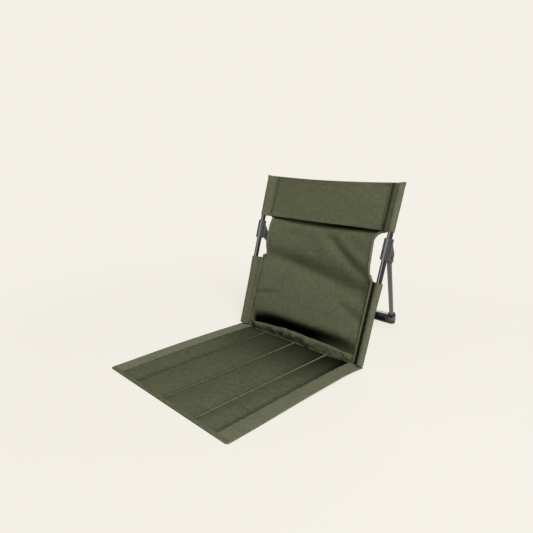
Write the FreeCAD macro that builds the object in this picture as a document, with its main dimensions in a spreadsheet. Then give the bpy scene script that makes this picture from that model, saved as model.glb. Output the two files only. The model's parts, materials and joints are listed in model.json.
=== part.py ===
import FreeCAD, Part
import math
import os
from types import SimpleNamespace

import Sketcher

# Low folding chair. A padded seat mat lies on the floor, a cloth back hangs between two leaning
# tubes, and two legs with a foot bar prop the tubes from behind. The origin is on the floor, midway
# between the points where the axes of the tubes meet it. X runs across the chair, Y to its rear and
# Z up. Left and right are as seen from in front of the chair, with left at -X. Heights on the back
# are measured along its tubes, from the floor.

Vector = FreeCAD.Vector

SIDES = {"left": -1, "right": 1}

# Millimetres, and degrees for the lean.
DIMENSIONS = {
    # back tubes
    "tube_spacing": 376.0,  # between the two axes
    "tube_diameter": 12.0,
    "tube_wall": 1.2,
    "tube_length": 388.0,
    "back_lean": 15.7,  # from upright
    "plug_flange": 2.0,
    "plug_depth": 12.0,
    "fit_gap": 0.1,  # round a tube, plug or shank in its hole
    # leg brackets on the tubes
    "bracket_gap": 49.0,  # above the lower sleeve
    "bracket_length": 46.0,
    "bracket_wall": 3.9,
    "bracket_round": 1.2,
    "hood_width": 15.0,
    "hood_slot": 7.2,
    "hood_radius": 7.0,  # round the hinge pin
    "hood_drop": 2.0,  # from the bracket's top to the top of the hood's slope
    "screw_inset": 5.0,  # from the bracket's top
    "screw_diameter": 3.0,
    "screw_head": 5.4,
    "screw_head_height": 1.6,
    "screw_reach": 3.0,  # past the tube's wall
    # hinge pins of the legs
    "pin_rise": 9.0,  # above the bracket's lower end
    "pin_setback": 16.5,  # behind the tube's axis
    "pin_diameter": 5.0,
    "pin_gap": 0.06,
    "pin_head": 8.4,
    "pin_head_height": 1.5,
    # leg knuckles
    "tongue_inset": 0.6,  # from the hood's round end
    "swing_gap": 0.3,  # between the tongue and the hood's slot
    "stem_depth": 10.0,
    "shoulder_gap": 5.5,  # from the hood's round end
    "shoulder_length": 6.5,
    "knuckle_plug": 16.0,
    # legs
    "leg_diameter": 11.0,
    "leg_wall": 1.0,
    "leg_overrun": 4.0,  # past the foot bar's axis
    "rivet_diameter": 3.2,
    "rivet_head": 5.6,
    "rivet_head_height": 1.2,
    "rivet_reach": 1.5,  # past what it holds
    "knuckle_rivet_start": 8.0,  # below the leg's upper end
    "collar_rivet_start": 15.0,  # above the foot bar's axis
    # foot bar
    "foot_spacing": 184.0,  # between the points where the legs meet the bar's axis
    "foot_setback": 300.0,  # behind the origin
    "bar_height": 25.0,
    "bar_depth": 20.0,
    "bar_round": 3.0,
    "collar_wall": 4.9,
    "collar_length": 26.0,
    "mouth_depth": 4.0,
    "mouth_wall": 1.9,
    "pocket_depth": 12.0,
    "rib": 4.0,
    # seat mat
    "seat_length": 385.0,  # in front of the origin
    "seat_overhang": 7.0,  # beyond the tube's axis, on each side
    "seat_rear": 6.0,  # behind the origin
    "seat_corner": 12.0,
    "cloth": 1.0,
    "foam_height": 6.0,
    "foam_gap": 0.15,
    "border_width": 37.0,
    "channel_pitch": 98.0,
    "seam_width": 4.0,
    "front_hem": 9.0,
    "rear_seam": 2.0,  # behind the origin
    "crown_run": 20.0,  # over which a panel's end rises
    "strip_inset": 20.0,  # from the outer channels' edges
    "strip_run": 4.0,
    "strip_rise": 22.0,
    "strip_sag": 1.5,
    "tab_margin": 3.0,
    # cloth of the back
    "sleeve_gap": 0.4,
    "seat_gap": 1.7,  # between the lower sleeves and the seat
    "sleeve_length": 184.0,
    "seam_inset": 26.0,  # from the tube's axis
    "head_gap": 14.0,  # above the brackets
    "head_room": 2.5,  # above the plugs of the tubes
    "top_sag": 6.0,
    "head_bow_lower": 7.0,
    "head_bow_upper": 1.0,
    "layer_gap": 0.2,  # between the two layers of the head
    "sewing_gap": 0.3,  # between the back panel's lower edge and the seat
    "panel_bow_lower": 18.0,
    "panel_bow_belly": 10.0,
    "panel_bow_middle": 22.0,
    "panel_bow_upper": 4.0,
    "panel_belly": 75.0,
    "panel_middle": 200.0,
    "cutout_radius": 24.0,
    "cutout_inset": 9.0,  # of the cut-out's upper end, from the seam
    "cut_margin": 1.0,  # of a cut, past the solid
}

doc = FreeCAD.newDocument("LowFoldingChair")


class Dim:
    """A size or an angle: its value, and the formula that ties it to the sheet."""

    def __init__(self, value, formula):
        self.value = value
        self.formula = formula

    def __add__(self, other):
        other = as_dim(other)
        return Dim(self.value + other.value, f"({self.formula} + {other.formula})")

    def __sub__(self, other):
        other = as_dim(other)
        return Dim(self.value - other.value, f"({self.formula} - {other.formula})")

    def __mul__(self, other):
        other = as_dim(other)
        return Dim(self.value * other.value, f"({self.formula} * {other.formula})")

    def __truediv__(self, other):
        other = as_dim(other)
        return Dim(self.value / other.value, f"({self.formula} / {other.formula})")

    def __neg__(self):
        return self * -1

    __radd__ = __add__
    __rmul__ = __mul__

    def root(self):
        return Dim(math.sqrt(self.value), f"sqrt({self.formula})")

    def sine(self):
        return Dim(math.sin(math.radians(self.value)), f"sin({self.formula})")

    def cosine(self):
        return Dim(math.cos(math.radians(self.value)), f"cos({self.formula})")

    def arcsine(self):
        return Dim(math.degrees(math.asin(self.value)), f"asin({self.formula})")

    def arctangent(self, other):
        angle = math.degrees(math.atan2(self.value, other.value))
        return Dim(angle, f"atan2({self.formula}; {other.formula})")


def as_dim(size):
    return size if isinstance(size, Dim) else Dim(float(size), f"({size})")


def hypotenuse(first, second):
    return (first * first + second * second).root()


def arc_radius(chord, rise):
    """The radius of an arc that stands this high on this chord."""
    return (chord * chord / 4 + rise * rise) / (rise * 2)


def turn(axis, angle):
    """The formula of a turn about an axis."""
    x, y, z = axis
    return f"create(<<rotation>>; create(<<vector>>; {x}; {y}; {z}); {as_dim(angle).formula})"


def fill_sheet():
    """Put the driving dimensions in a sheet, and return them as sizes tied to its cells."""
    sheet = doc.addObject("Spreadsheet::Sheet", "Dimensions")
    for row, (name, value) in enumerate(DIMENSIONS.items(), 1):
        sheet.set(f"A{row}", name)
        sheet.set(f"B{row}", str(value))
        sheet.setAlias(f"B{row}", name)
    doc.recompute()
    return SimpleNamespace(
        **{name: Dim(float(sheet.get(name)), f"Dimensions.{name}") for name in DIMENSIONS}
    )


d = fill_sheet()

half_spacing = d.tube_spacing / 2
tube_radius = d.tube_diameter / 2
tube_bore = tube_radius - d.tube_wall
lean_sine = d.back_lean.sine()
lean_cosine = d.back_lean.cosine()

# From the bottom of the back to its top: sleeve, bare tube, bracket, bare tube, head.
border_top = d.cloth * 3
sleeve_bore = tube_radius + d.sleeve_gap
sleeve_radius = sleeve_bore + d.cloth
sleeve_start = (border_top + d.seat_gap + sleeve_radius * lean_sine) / lean_cosine
sleeve_end = sleeve_start + d.sleeve_length
bracket_start = sleeve_end + d.bracket_gap
bracket_end = bracket_start + d.bracket_length
head_start = bracket_end + d.head_gap
tube_start = sleeve_start + d.plug_flange
tube_end = tube_start + d.tube_length
head_end = tube_end + d.plug_flange + d.head_room + d.cloth

bracket_radius = tube_radius + d.fit_gap + d.bracket_wall
screw_height = bracket_end - d.screw_inset
pin_height = bracket_start + d.pin_rise
pin_radius = d.pin_diameter / 2
tongue_radius = d.hood_radius - d.tongue_inset
tongue_width = d.hood_slot - d.swing_gap * 2
slot_radius = tongue_radius + d.swing_gap
shoulder_start = d.hood_radius + d.shoulder_gap
leg_start = shoulder_start + d.shoulder_length

leg_radius = d.leg_diameter / 2
leg_bore = leg_radius - d.leg_wall
rivet_radius = d.rivet_diameter / 2
half_feet = d.foot_spacing / 2
bar_axis = d.bar_height / 2
collar_radius = leg_radius + d.fit_gap + d.collar_wall

# The pin and the foot bar's axis in side view, and the leg between them.
pin_y = pin_height * lean_sine + d.pin_setback * lean_cosine
pin_z = pin_height * lean_cosine - d.pin_setback * lean_sine
leg_back = d.foot_setback - pin_y
leg_drop = pin_z - bar_axis
leg_inward = half_spacing - half_feet
leg_length = hypotenuse(hypotenuse(leg_back, leg_drop), leg_inward)
support_angle = leg_back.arctangent(leg_drop)
splay_angle = (leg_inward / leg_length).arcsine()

half_seat = half_spacing + d.seat_overhang
sheet_top = d.cloth * 2
channel_edge = half_seat - d.border_width
half_strip = channel_edge - d.strip_inset
channel_edges = [-channel_edge, -d.channel_pitch, as_dim(0), d.channel_pitch, channel_edge]
CHANNELS = ["outer_left", "inner_left", "inner_right", "outer_right"]
POCKETS = 4

seam_x = half_spacing - d.seam_inset
panel_depth = d.panel_bow_lower + d.cloth
panel_start = (d.cloth + d.sewing_gap + panel_depth * lean_sine) / lean_cosine
tab_rear = panel_start * lean_sine + panel_depth * lean_cosine + d.tab_margin

UPRIGHT = turn((0, 0, 1), 0)
ALONG_X = turn((0, 1, 0), 90)
ALONG_Y = turn((1, 0, 0), -90)
Y_TO_X = turn((0, 0, 1), -90)
LEANING = turn((-1, 0, 0), d.back_lean)
SUPPORTING = turn((1, 0, 0), support_angle)

nodes = []


def bind(target, **sizes):
    """Tie properties of a feature to the sheet."""
    for name, size in sizes.items():
        target.setExpression(name, as_dim(size).formula)


def new_body(label):
    body = doc.addObject("PartDesign::Body", label)
    body.Label = label
    return body


def put(piece, base, facing=UPRIGHT):
    """Tie the place of a sub-part or feature to the sheet."""
    x, y, z = (as_dim(size).formula for size in base)
    place = f"create(<<placement>>; create(<<vector>>; {x}; {y}; {z}); {facing})"
    piece.setExpression("Placement", place)


def node(piece, base=(0, 0, 0), facing=UPRIGHT):
    """Count a piece as a sub-part, and put it in its place."""
    put(piece, base, facing)
    nodes.append(piece)


def back_node(body):
    """A sub-part that was drawn upright, and leans with the back."""
    node(body, facing=LEANING)


def cylinder(body, kind, name, radius, height, base, facing=UPRIGHT):
    """Add or subtract a cylinder that starts at base."""
    feature = body.newObject(f"PartDesign::{kind}Cylinder", name)
    bind(feature, Radius=radius, Height=height)
    put(feature, base, facing)


def box(body, kind, name, low, high):
    """Add or subtract a box between two corners."""
    feature = body.newObject(f"PartDesign::{kind}Box", name)
    length, width, height = (as_dim(top) - bottom for bottom, top in zip(low, high))
    bind(feature, Length=length, Width=width, Height=height)
    put(feature, low)


def add_side(sketch, start, end):
    """Draw one side of an outline. Returns the sketch's names for its first and last points."""
    first = Vector(as_dim(start[0]).value, as_dim(start[1]).value)
    last = Vector(as_dim(end[0]).value, as_dim(end[1]).value)
    if len(end) == 2:
        sketch.addGeometry(Part.LineSegment(first, last))
        return 1, 2
    radius = end[2].value
    half = (last - first) * 0.5
    left = Vector(-half.y, half.x).normalize()
    rise = math.sqrt(radius**2 - half.Length**2)
    centre = first + half + left * math.copysign(rise, radius)
    circle = Part.Circle(centre, Vector(0, 0, 1), abs(radius))
    angles = [math.atan2(point.y - centre.y, point.x - centre.x) for point in (first, last)]
    if radius > 0:
        sketch.addGeometry(Part.ArcOfCircle(circle, *angles))
        return 1, 2
    sketch.addGeometry(Part.ArcOfCircle(circle, *reversed(angles)))
    return 2, 1


def outline(body, plane, name, corners, shift=None):
    """A closed sketch through corners (x, y). A third value makes the side that ends there an arc:
    it is the radius, positive where the side turns left and negative where it turns right."""
    sketch = body.newObject("Sketcher::SketchObject", name)
    sketch.AttachmentSupport = [
        (face, "") for face in body.Origin.OriginFeatures if face.Role == f"{plane}_Plane"
    ]
    sketch.MapMode = "FlatFace"
    if shift is not None:
        bind(sketch, **{"AttachmentOffset.Base.z": shift})
    ends = [add_side(sketch, corners[i - 1], corner) for i, corner in enumerate(corners)]

    def tie(kind, *where, size):
        index = sketch.addConstraint(Sketcher.Constraint(kind, *where, size.value))
        sketch.setExpression(f"Constraints[{index}]", size.formula)

    for i, corner in enumerate(corners):
        following = (i + 1) % len(corners)
        sketch.addConstraint(
            Sketcher.Constraint("Coincident", i, ends[i][1], following, ends[following][0])
        )
        tie("DistanceX", -1, 1, i, ends[i][1], size=as_dim(corner[0]))
        tie("DistanceY", -1, 1, i, ends[i][1], size=as_dim(corner[1]))
        if len(corner) == 3:
            bend = corner[2]
            tie("Radius", i, size=bend if bend.value > 0 else -bend)
    return sketch


def pad(body, name, sketch, length, both_ways=False):
    feature = body.newObject("PartDesign::Pad", name)
    feature.Profile = sketch
    feature.SideType = "Symmetric" if both_ways else "One side"
    bind(feature, Length=length)


def cut_through(body, name, sketch):
    """Cut an outline through the whole body, and check that it took something away."""
    doc.recompute()
    before = body.Shape.Volume
    feature = body.newObject("PartDesign::Pocket", name)
    feature.Profile = sketch
    feature.Type = "ThroughAll"
    feature.SideType = "Symmetric"
    doc.recompute()
    if not body.Shape.Volume < before:
        raise RuntimeError(f"{body.Label}: {name} cuts nothing")


def round_edges(body, name, radius, chosen):
    """Round the edges of a body that a test picks out."""
    doc.recompute()
    base = body.Tip
    picked = [f"Edge{i}" for i, edge in enumerate(base.Shape.Edges, 1) if chosen(edge)]
    feature = body.newObject("PartDesign::Fillet", name)
    feature.Base = (base, picked)
    bind(feature, Radius=radius)


def headed_pin(label, radius, start, seat, head_radius, head_height, second_head=False):
    """A rivet or screw along Y. Its shank runs from start to seat, and its head is on from there."""
    body = new_body(label)
    dome = arc_radius(head_radius * 2, head_height)
    tip = [(0, start), (radius, start)]
    if second_head:
        tip = [(0, start - head_height), (head_radius, start, dome), (radius, start)]
    head = [(radius, seat), (head_radius, seat), (0, seat + head_height, dome)]
    revolution = body.newObject("PartDesign::Revolution", "Turned")
    sketch = outline(body, "XY", "Profile", tip + head)
    revolution.Profile = sketch
    revolution.ReferenceAxis = (sketch, ["V_Axis"])
    revolution.Angle = 360
    return body


# Back tubes and what is fixed to them


def make_back_tube(side, sign):
    axis = half_spacing * sign
    body = new_body(f"back_tube_{side}")
    cylinder(body, "Additive", "Tube", tube_radius, d.tube_length, (axis, 0, tube_start))
    cylinder(body, "Subtractive", "Bore", tube_bore, d.tube_length, (axis, 0, tube_start))
    hole = d.screw_diameter / 2 + d.fit_gap
    reach = tube_radius + d.cut_margin
    cylinder(body, "Subtractive", "ScrewHole", hole, reach, (axis, 0, screw_height), ALONG_Y)
    back_node(body)


def make_tube_plug(side, sign, end):
    axis = half_spacing * sign
    body = new_body(f"tube_{end}_plug_{side}")
    low = tube_start - d.plug_flange
    shank_low = tube_start
    if end == "top":
        low = tube_end
        shank_low = tube_end - d.plug_depth
    cylinder(body, "Additive", "Flange", tube_radius, d.plug_flange, (axis, 0, low))
    cylinder(body, "Additive", "Shank", tube_bore - d.fit_gap, d.plug_depth, (axis, 0, shank_low))
    back_node(body)


def make_bracket(side, sign):
    """A sleeve on the tube, with a slotted hood to the rear for the leg's knuckle."""
    axis = half_spacing * sign
    body = new_body(f"leg_bracket_{side}")
    cylinder(body, "Additive", "Sleeve", bracket_radius, d.bracket_length, (axis, 0, bracket_start))
    rear = d.pin_setback + d.hood_radius
    hood = outline(
        body,
        "YZ",
        "HoodSide",
        [
            (0, bracket_end - d.hood_drop),
            (0, pin_height - d.hood_radius),
            (d.pin_setback, pin_height - d.hood_radius),
            (rear, pin_height, d.hood_radius),
            (rear, pin_height + d.hood_radius),
        ],
        shift=axis,
    )
    pad(body, "Hood", hood, d.hood_width, both_ways=True)
    bore = tube_radius + d.fit_gap
    cylinder(body, "Subtractive", "TubeBore", bore, d.bracket_length, (axis, 0, bracket_start))
    half_slot = d.hood_slot / 2
    low = (axis - half_slot, d.pin_setback - slot_radius, bracket_start - d.cut_margin)
    high = (axis + half_slot, rear + d.cut_margin, pin_height + slot_radius)
    box(body, "Subtractive", "Slot", low, high)
    pin_base = (axis - d.hood_width, d.pin_setback, pin_height)
    pin_hole = pin_radius + d.pin_gap
    cylinder(body, "Subtractive", "PinHole", pin_hole, d.hood_width * 2, pin_base, ALONG_X)
    screw_hole = d.screw_diameter / 2 + d.fit_gap
    reach = bracket_radius + d.cut_margin
    cylinder(body, "Subtractive", "ScrewHole", screw_hole, reach, (axis, 0, screw_height), ALONG_Y)

    def upper_rim(edge):
        return (
            isinstance(edge.Curve, Part.Circle)
            and math.isclose(edge.Curve.Radius, bracket_radius.value)
            and math.isclose(edge.Curve.Center.z, bracket_end.value)
        )

    round_edges(body, "Rim", d.bracket_round, upper_rim)
    back_node(body)


def make_bracket_screw(side, sign):
    body = headed_pin(
        f"bracket_screw_{side}",
        d.screw_diameter / 2,
        tube_bore - d.screw_reach,
        bracket_radius,
        d.screw_head / 2,
        d.screw_head_height,
    )
    base = (half_spacing * sign, screw_height * lean_sine, screw_height * lean_cosine)
    node(body, base, LEANING)


def make_hinge_pin(side, sign):
    half_hood = d.hood_width / 2
    body = headed_pin(
        f"hinge_pin_{side}",
        pin_radius,
        -half_hood,
        half_hood,
        d.pin_head / 2,
        d.pin_head_height,
        second_head=True,
    )
    node(body, pin_place(sign), Y_TO_X)


# Rear support


def pin_place(sign):
    return half_spacing * sign, pin_y, pin_z


def splay(sign):
    return turn((0, 1, 0), splay_angle * sign)


def along_leg(sign):
    """A turn that puts Z up along the leg, and Y square to the plane of the two legs."""
    return f"{SUPPORTING} * {splay(sign)}"


def up_leg(sign):
    """One step up along the leg."""
    return leg_inward * sign / leg_length, -leg_back / leg_length, leg_drop / leg_length


def make_knuckle(side, sign):
    """A tongue on the pin, and a plug that follows the splayed leg."""
    body = new_body(f"leg_knuckle_{side}")
    half_width = tongue_width / 2
    half_stem = d.stem_depth / 2
    cylinder(
        body, "Additive", "Tongue", tongue_radius, tongue_width, (-half_width, 0, 0), ALONG_X
    )
    box(
        body,
        "Additive",
        "Stem",
        (-half_width, -half_stem, -(shoulder_start + leg_radius)),
        (half_width, half_stem, 0),
    )
    inward = leg_inward / leg_length * -sign
    down = hypotenuse(leg_back, leg_drop) / leg_length * -1

    def on_leg(distance):
        return (inward * distance, 0, down * distance)

    shoulder = leg_start - shoulder_start
    plug_end = leg_start + d.knuckle_plug
    plug_radius = leg_bore - d.fit_gap
    plug_length = plug_end - shoulder_start
    turned = splay(sign)
    cylinder(body, "Additive", "Shoulder", leg_radius, shoulder, on_leg(leg_start), turned)
    cylinder(body, "Additive", "Plug", plug_radius, plug_length, on_leg(plug_end), turned)
    pin_hole = pin_radius + d.pin_gap
    cylinder(
        body, "Subtractive", "PinHole", pin_hole, d.hood_width, (-(d.hood_width / 2), 0, 0), ALONG_X
    )
    rivet = leg_start + d.knuckle_rivet_start
    hole = rivet_radius + d.fit_gap
    cylinder(body, "Subtractive", "RivetHole", hole, leg_radius, on_leg(rivet), ALONG_Y)
    node(body, pin_place(sign), SUPPORTING)


def make_leg(side, sign):
    body = new_body(f"leg_{side}")
    low = -(leg_length + d.leg_overrun)
    length = leg_length + d.leg_overrun - leg_start
    cylinder(body, "Additive", "Tube", leg_radius, length, (0, 0, low))
    cylinder(body, "Subtractive", "Bore", leg_bore, length, (0, 0, low))
    hole = rivet_radius + d.fit_gap
    reach = leg_radius + d.cut_margin
    upper = -(leg_start + d.knuckle_rivet_start)
    lower = d.collar_rivet_start - leg_length
    cylinder(body, "Subtractive", "UpperRivetHole", hole, reach, (0, 0, upper), ALONG_Y)
    cylinder(body, "Subtractive", "LowerRivetHole", hole, reach, (0, 0, lower), ALONG_Y)
    node(body, pin_place(sign), along_leg(sign))


def make_leg_rivets(side, sign):
    """The rivets that hold a leg to its knuckle and in its collar, from the rear."""
    distances = {
        "knuckle": leg_start + d.knuckle_rivet_start,
        "collar": leg_length - d.collar_rivet_start,
    }
    seats = {"knuckle": leg_radius, "collar": collar_radius}
    starts = {"knuckle": leg_bore - d.rivet_reach * 2, "collar": leg_bore - d.rivet_reach}
    for held, distance in distances.items():
        body = headed_pin(
            f"{held}_rivet_{side}",
            rivet_radius,
            starts[held],
            seats[held],
            d.rivet_head / 2,
            d.rivet_head_height,
        )
        base = [start - step * distance for start, step in zip(pin_place(sign), up_leg(sign))]
        node(body, base, along_leg(sign))


def make_foot_bar():
    """A moulded bar on the floor, with a slanted collar for each leg and ribbed pockets in front."""
    body = new_body("foot_bar")
    half_depth = d.bar_depth / 2
    plan = outline(
        body,
        "XY",
        "Plan",
        [
            (-half_feet, -half_depth, half_depth),
            (half_feet, -half_depth),
            (half_feet + half_depth, 0, half_depth),
            (half_feet, half_depth, half_depth),
            (-half_feet, half_depth),
            (-half_feet - half_depth, 0, half_depth),
        ],
    )
    pad(body, "Bar", plan, d.bar_height)

    def level_edge(edge):
        return math.isclose(edge.BoundBox.ZMin, edge.BoundBox.ZMax, abs_tol=1e-6)

    round_edges(body, "BarRound", d.bar_round, level_edge)
    for side, sign in SIDES.items():
        add_collar(body, side, sign)
    cut_pockets(body, half_depth)
    node(body, (0, d.foot_setback, 0))


def add_collar(body, side, sign):
    """A collar along the leg, with its socket, a wider mouth and the hole for the rivet."""
    along = along_leg(sign)
    across = f"{along} * {ALONG_Y}"

    def on_leg(distance):
        foot = (half_feet * sign, 0, bar_axis)
        return [step * distance + start for step, start in zip(up_leg(sign), foot)]

    socket_start = -(d.leg_overrun + d.fit_gap)
    mouth_start = d.collar_length - d.mouth_depth
    collar_end = d.collar_length + d.cut_margin
    rivet_hole = rivet_radius + d.fit_gap
    socket = leg_radius + d.fit_gap
    mouth = collar_radius - d.mouth_wall
    reach = collar_radius + d.cut_margin
    cylinder(body, "Additive", f"Collar_{side}", collar_radius, d.collar_length, on_leg(0), along)
    socket_length = collar_end - socket_start
    cylinder(
        body, "Subtractive", f"Socket_{side}", socket, socket_length, on_leg(socket_start), along
    )
    mouth_length = collar_end - mouth_start
    cylinder(body, "Subtractive", f"Mouth_{side}", mouth, mouth_length, on_leg(mouth_start), along)
    rivet = on_leg(d.collar_rivet_start)
    cylinder(body, "Subtractive", f"RivetHole_{side}", rivet_hole, reach, rivet, across)


def cut_pockets(body, half_depth):
    """Pockets in the bar's front, between the collars, with ribs left between them."""
    half_span = half_feet - collar_radius - d.rib
    pitch = (half_span * 2 + d.rib) / POCKETS
    for i in range(POCKETS):
        left = pitch * i - half_span
        low = (left, -half_depth - d.cut_margin, d.rib)
        high = (left + pitch - d.rib, d.pocket_depth - half_depth, d.bar_height - d.rib)
        box(body, "Subtractive", f"Pocket_{i + 1}", low, high)


# Seat mat


def seat_sheet(label, level, middle_rear):
    """A sheet of the mat's outline, whose rear edge between the ends of the strip is set apart."""
    body = new_body(label)
    corner_y = d.seat_corner - d.seat_length
    corner_x = half_seat - d.seat_corner
    plan = outline(
        body,
        "XY",
        "Plan",
        [
            (-corner_x, -d.seat_length, d.seat_corner),
            (corner_x, -d.seat_length),
            (half_seat, corner_y, d.seat_corner),
            (half_seat, d.seat_rear),
            (half_strip, d.seat_rear),
            (half_strip, middle_rear),
            (-half_strip, middle_rear),
            (-half_strip, d.seat_rear),
            (-half_seat, d.seat_rear),
            (-half_seat, corner_y),
        ],
        shift=level,
    )
    pad(body, "Sheet", plan, d.cloth)
    return body


def crown(label, left, right, grow):
    """A panel of the seat, grown by this much: arched across, and drawn down at its ends."""
    body = new_body(label)
    base = d.cloth
    height = d.foam_height + grow
    low = left + d.seam_width / 2 - grow
    high = right - d.seam_width / 2 + grow
    front = d.front_hem - d.seat_length - grow
    rear = d.rear_seam - d.seam_width + grow
    top = base + height
    over = top + d.cut_margin
    arch = outline(
        body,
        "XZ",
        "Arch",
        [(low, base, arc_radius(high - low, height)), (high, base)],
        shift=-rear,
    )
    pad(body, "Panel", arch, rear - front)
    bend = -arc_radius(d.crown_run * 2, height)
    ends = {
        "Front": [
            (front, base),
            (front + d.crown_run, top, bend),
            (front + d.crown_run, over),
            (front - d.cut_margin, over),
            (front - d.cut_margin, base),
        ],
        "Rear": [
            (rear, base, bend),
            (rear + d.cut_margin, base),
            (rear + d.cut_margin, over),
            (rear - d.crown_run, over),
            (rear - d.crown_run, top),
        ],
    }
    for end, corners in ends.items():
        cut_through(body, f"{end}Fall", outline(body, "YZ", f"{end}Side", corners))
    return body


def joined(label, pieces):
    fuse = doc.addObject("Part::MultiFuse", label)
    fuse.Shapes = pieces
    return fuse


def make_seat():
    """The underside, the foam panels in their channels and the top sheet over them."""
    node(seat_sheet("seat_underside", as_dim(0), tab_rear))
    channels = list(zip(CHANNELS, channel_edges, channel_edges[1:]))
    for name, left, right in channels:
        node(crown(f"seat_foam_{name}", left, right, as_dim(0)))
    covers = [crown(f"Cover_{name}", left, right, d.cloth) for name, left, right in channels]
    hollows = [crown(f"Hollow_{name}", left, right, d.foam_gap) for name, left, right in channels]
    sheet = seat_sheet("TopSheet", d.cloth, d.rear_seam)
    top = doc.addObject("Part::Cut", "seat_top")
    top.Base = joined("RaisedSheet", [sheet] + covers)
    top.Tool = joined("Channels", hollows)
    node(top)


def make_seat_border(side, sign):
    body = new_body(f"seat_border_{side}")
    corner_y = d.seat_corner - d.seat_length
    corner_x = (half_seat - d.seat_corner) * sign
    inner = channel_edge * sign
    outer = half_seat * sign
    plan = outline(
        body,
        "XY",
        "Plan",
        [
            (inner, -d.seat_length),
            (corner_x, -d.seat_length),
            (outer, corner_y, d.seat_corner * sign),
            (outer, d.seat_rear),
            (inner, d.seat_rear),
        ],
        shift=sheet_top,
    )
    pad(body, "Band", plan, d.cloth)
    node(body)


def make_rear_strip():
    """The cloth that turns up from the seat's rear seam, in front of the back."""
    body = new_body("rear_strip")
    front = d.rear_seam
    rear = front + d.cloth
    top = d.cloth + d.strip_rise
    bend = arc_radius(hypotenuse(d.strip_run, d.strip_rise), d.strip_sag)
    side = outline(
        body,
        "YZ",
        "Side",
        [
            (front, d.cloth, -bend),
            (rear, d.cloth),
            (rear + d.strip_run, top, bend),
            (front + d.strip_run, top),
        ],
    )
    pad(body, "Strip", side, half_strip * 2, both_ways=True)
    node(body)


# Cloth of the back


def make_sleeve(label, sign, low, high, closed):
    """Cloth looped round a tube, and sewn flat from there to the seam. A closed one has a top end."""
    body = new_body(label)
    axis = half_spacing * sign
    left, right = sorted((axis, seam_x * sign), key=lambda size: size.value)
    cylinder(body, "Additive", "Loop", sleeve_radius, high - low, (axis, 0, low))
    box(body, "Additive", "Flat", (left, -d.cloth, low), (right, d.cloth, high))
    bore_end = high - d.cloth if closed else high
    cylinder(body, "Subtractive", "Bore", sleeve_bore, bore_end - low, (axis, 0, low))
    back_node(body)


def cloth_section(body, name, height, front, bow, toward):
    """Cloth between the seams, cut level: toward is 1 where it bows to the rear, and -1 forwards."""
    bend = arc_radius(seam_x * 2, bow) * toward
    corners = [
        (-seam_x, front),
        (seam_x, front, -bend),
        (seam_x, front + d.cloth),
        (-seam_x, front + d.cloth, bend),
    ]
    return outline(body, "XY", name, corners, shift=height)


def loft(body, sections):
    feature = body.newObject("PartDesign::AdditiveLoft", "Cloth")
    feature.Profile = sections[0]
    feature.Sections = sections[1:]


def cut_top_sag(body):
    """Let the upper edge sag between the tubes."""
    corners = [
        (-seam_x, head_end),
        (seam_x, head_end, arc_radius(seam_x * 2, d.top_sag)),
        (seam_x, head_end + d.cut_margin),
        (-seam_x, head_end + d.cut_margin),
    ]
    cut_through(body, "TopSag", outline(body, "XZ", "TopEdge", corners))


def make_back_panel():
    """The cloth that is leant on. It bows to the rear, and a cut-out frees each bracket."""
    body = new_body("back_panel")
    levels = {
        "Lower": (panel_start, d.panel_bow_lower),
        "Belly": (d.panel_belly, d.panel_bow_belly),
        "Middle": (d.panel_middle, d.panel_bow_middle),
        "Upper": (head_end, d.panel_bow_upper),
    }
    sections = [
        cloth_section(body, name, height, as_dim(0), bow, 1) for name, (height, bow) in levels.items()
    ]
    loft(body, sections)
    for side, sign in SIDES.items():
        inner = (seam_x - d.cutout_inset) * sign
        outer = inner + d.cutout_radius * sign
        corners = [
            (seam_x * sign, sleeve_end),
            (outer, sleeve_end),
            (outer, head_start),
            (inner, head_start - d.cutout_radius, d.cutout_radius * sign),
        ]
        cut_through(body, f"Cutout_{side}", outline(body, "XZ", f"CutoutEdge_{side}", corners))
    cut_top_sag(body)
    back_node(body)


def make_head_panel():
    """The flap over the upper part of the back, with its lower edge standing free."""
    body = new_body("head_panel")
    front = -(d.layer_gap + d.cloth)
    levels = {
        "Lower": (head_start, d.head_bow_lower),
        "Upper": (head_end, d.head_bow_upper),
    }
    sections = [
        cloth_section(body, name, height, front, bow, -1) for name, (height, bow) in levels.items()
    ]
    loft(body, sections)
    cut_top_sag(body)
    back_node(body)


def make_chair():
    make_seat()
    make_rear_strip()
    make_back_panel()
    make_head_panel()
    make_foot_bar()
    for side, sign in SIDES.items():
        make_seat_border(side, sign)
        make_back_tube(side, sign)
        make_tube_plug(side, sign, "top")
        make_tube_plug(side, sign, "bottom")
        make_bracket(side, sign)
        make_bracket_screw(side, sign)
        make_hinge_pin(side, sign)
        make_sleeve(f"head_sleeve_{side}", sign, head_start, head_end, closed=True)
        make_sleeve(f"lower_sleeve_{side}", sign, sleeve_start, sleeve_end, closed=False)
        make_knuckle(side, sign)
        make_leg(side, sign)
        make_leg_rivets(side, sign)


def write_nodes():
    """Write every sub-part, once the whole document is sound."""
    doc.recompute()
    for item in doc.Objects:
        if {"Invalid", "Error"} & set(item.State):
            raise RuntimeError(f"{item.Label} failed: {item.State}")
    for piece in nodes:
        if piece.Shape.isNull() or not piece.Shape.isValid():
            raise RuntimeError(f"{piece.Label} has no sound shape")
    os.makedirs("parts", exist_ok=True)
    for piece in nodes:
        piece.Shape.exportStep(f"parts/{piece.Label}.step")


make_chair()
write_nodes()
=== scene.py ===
import json
import math

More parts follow.
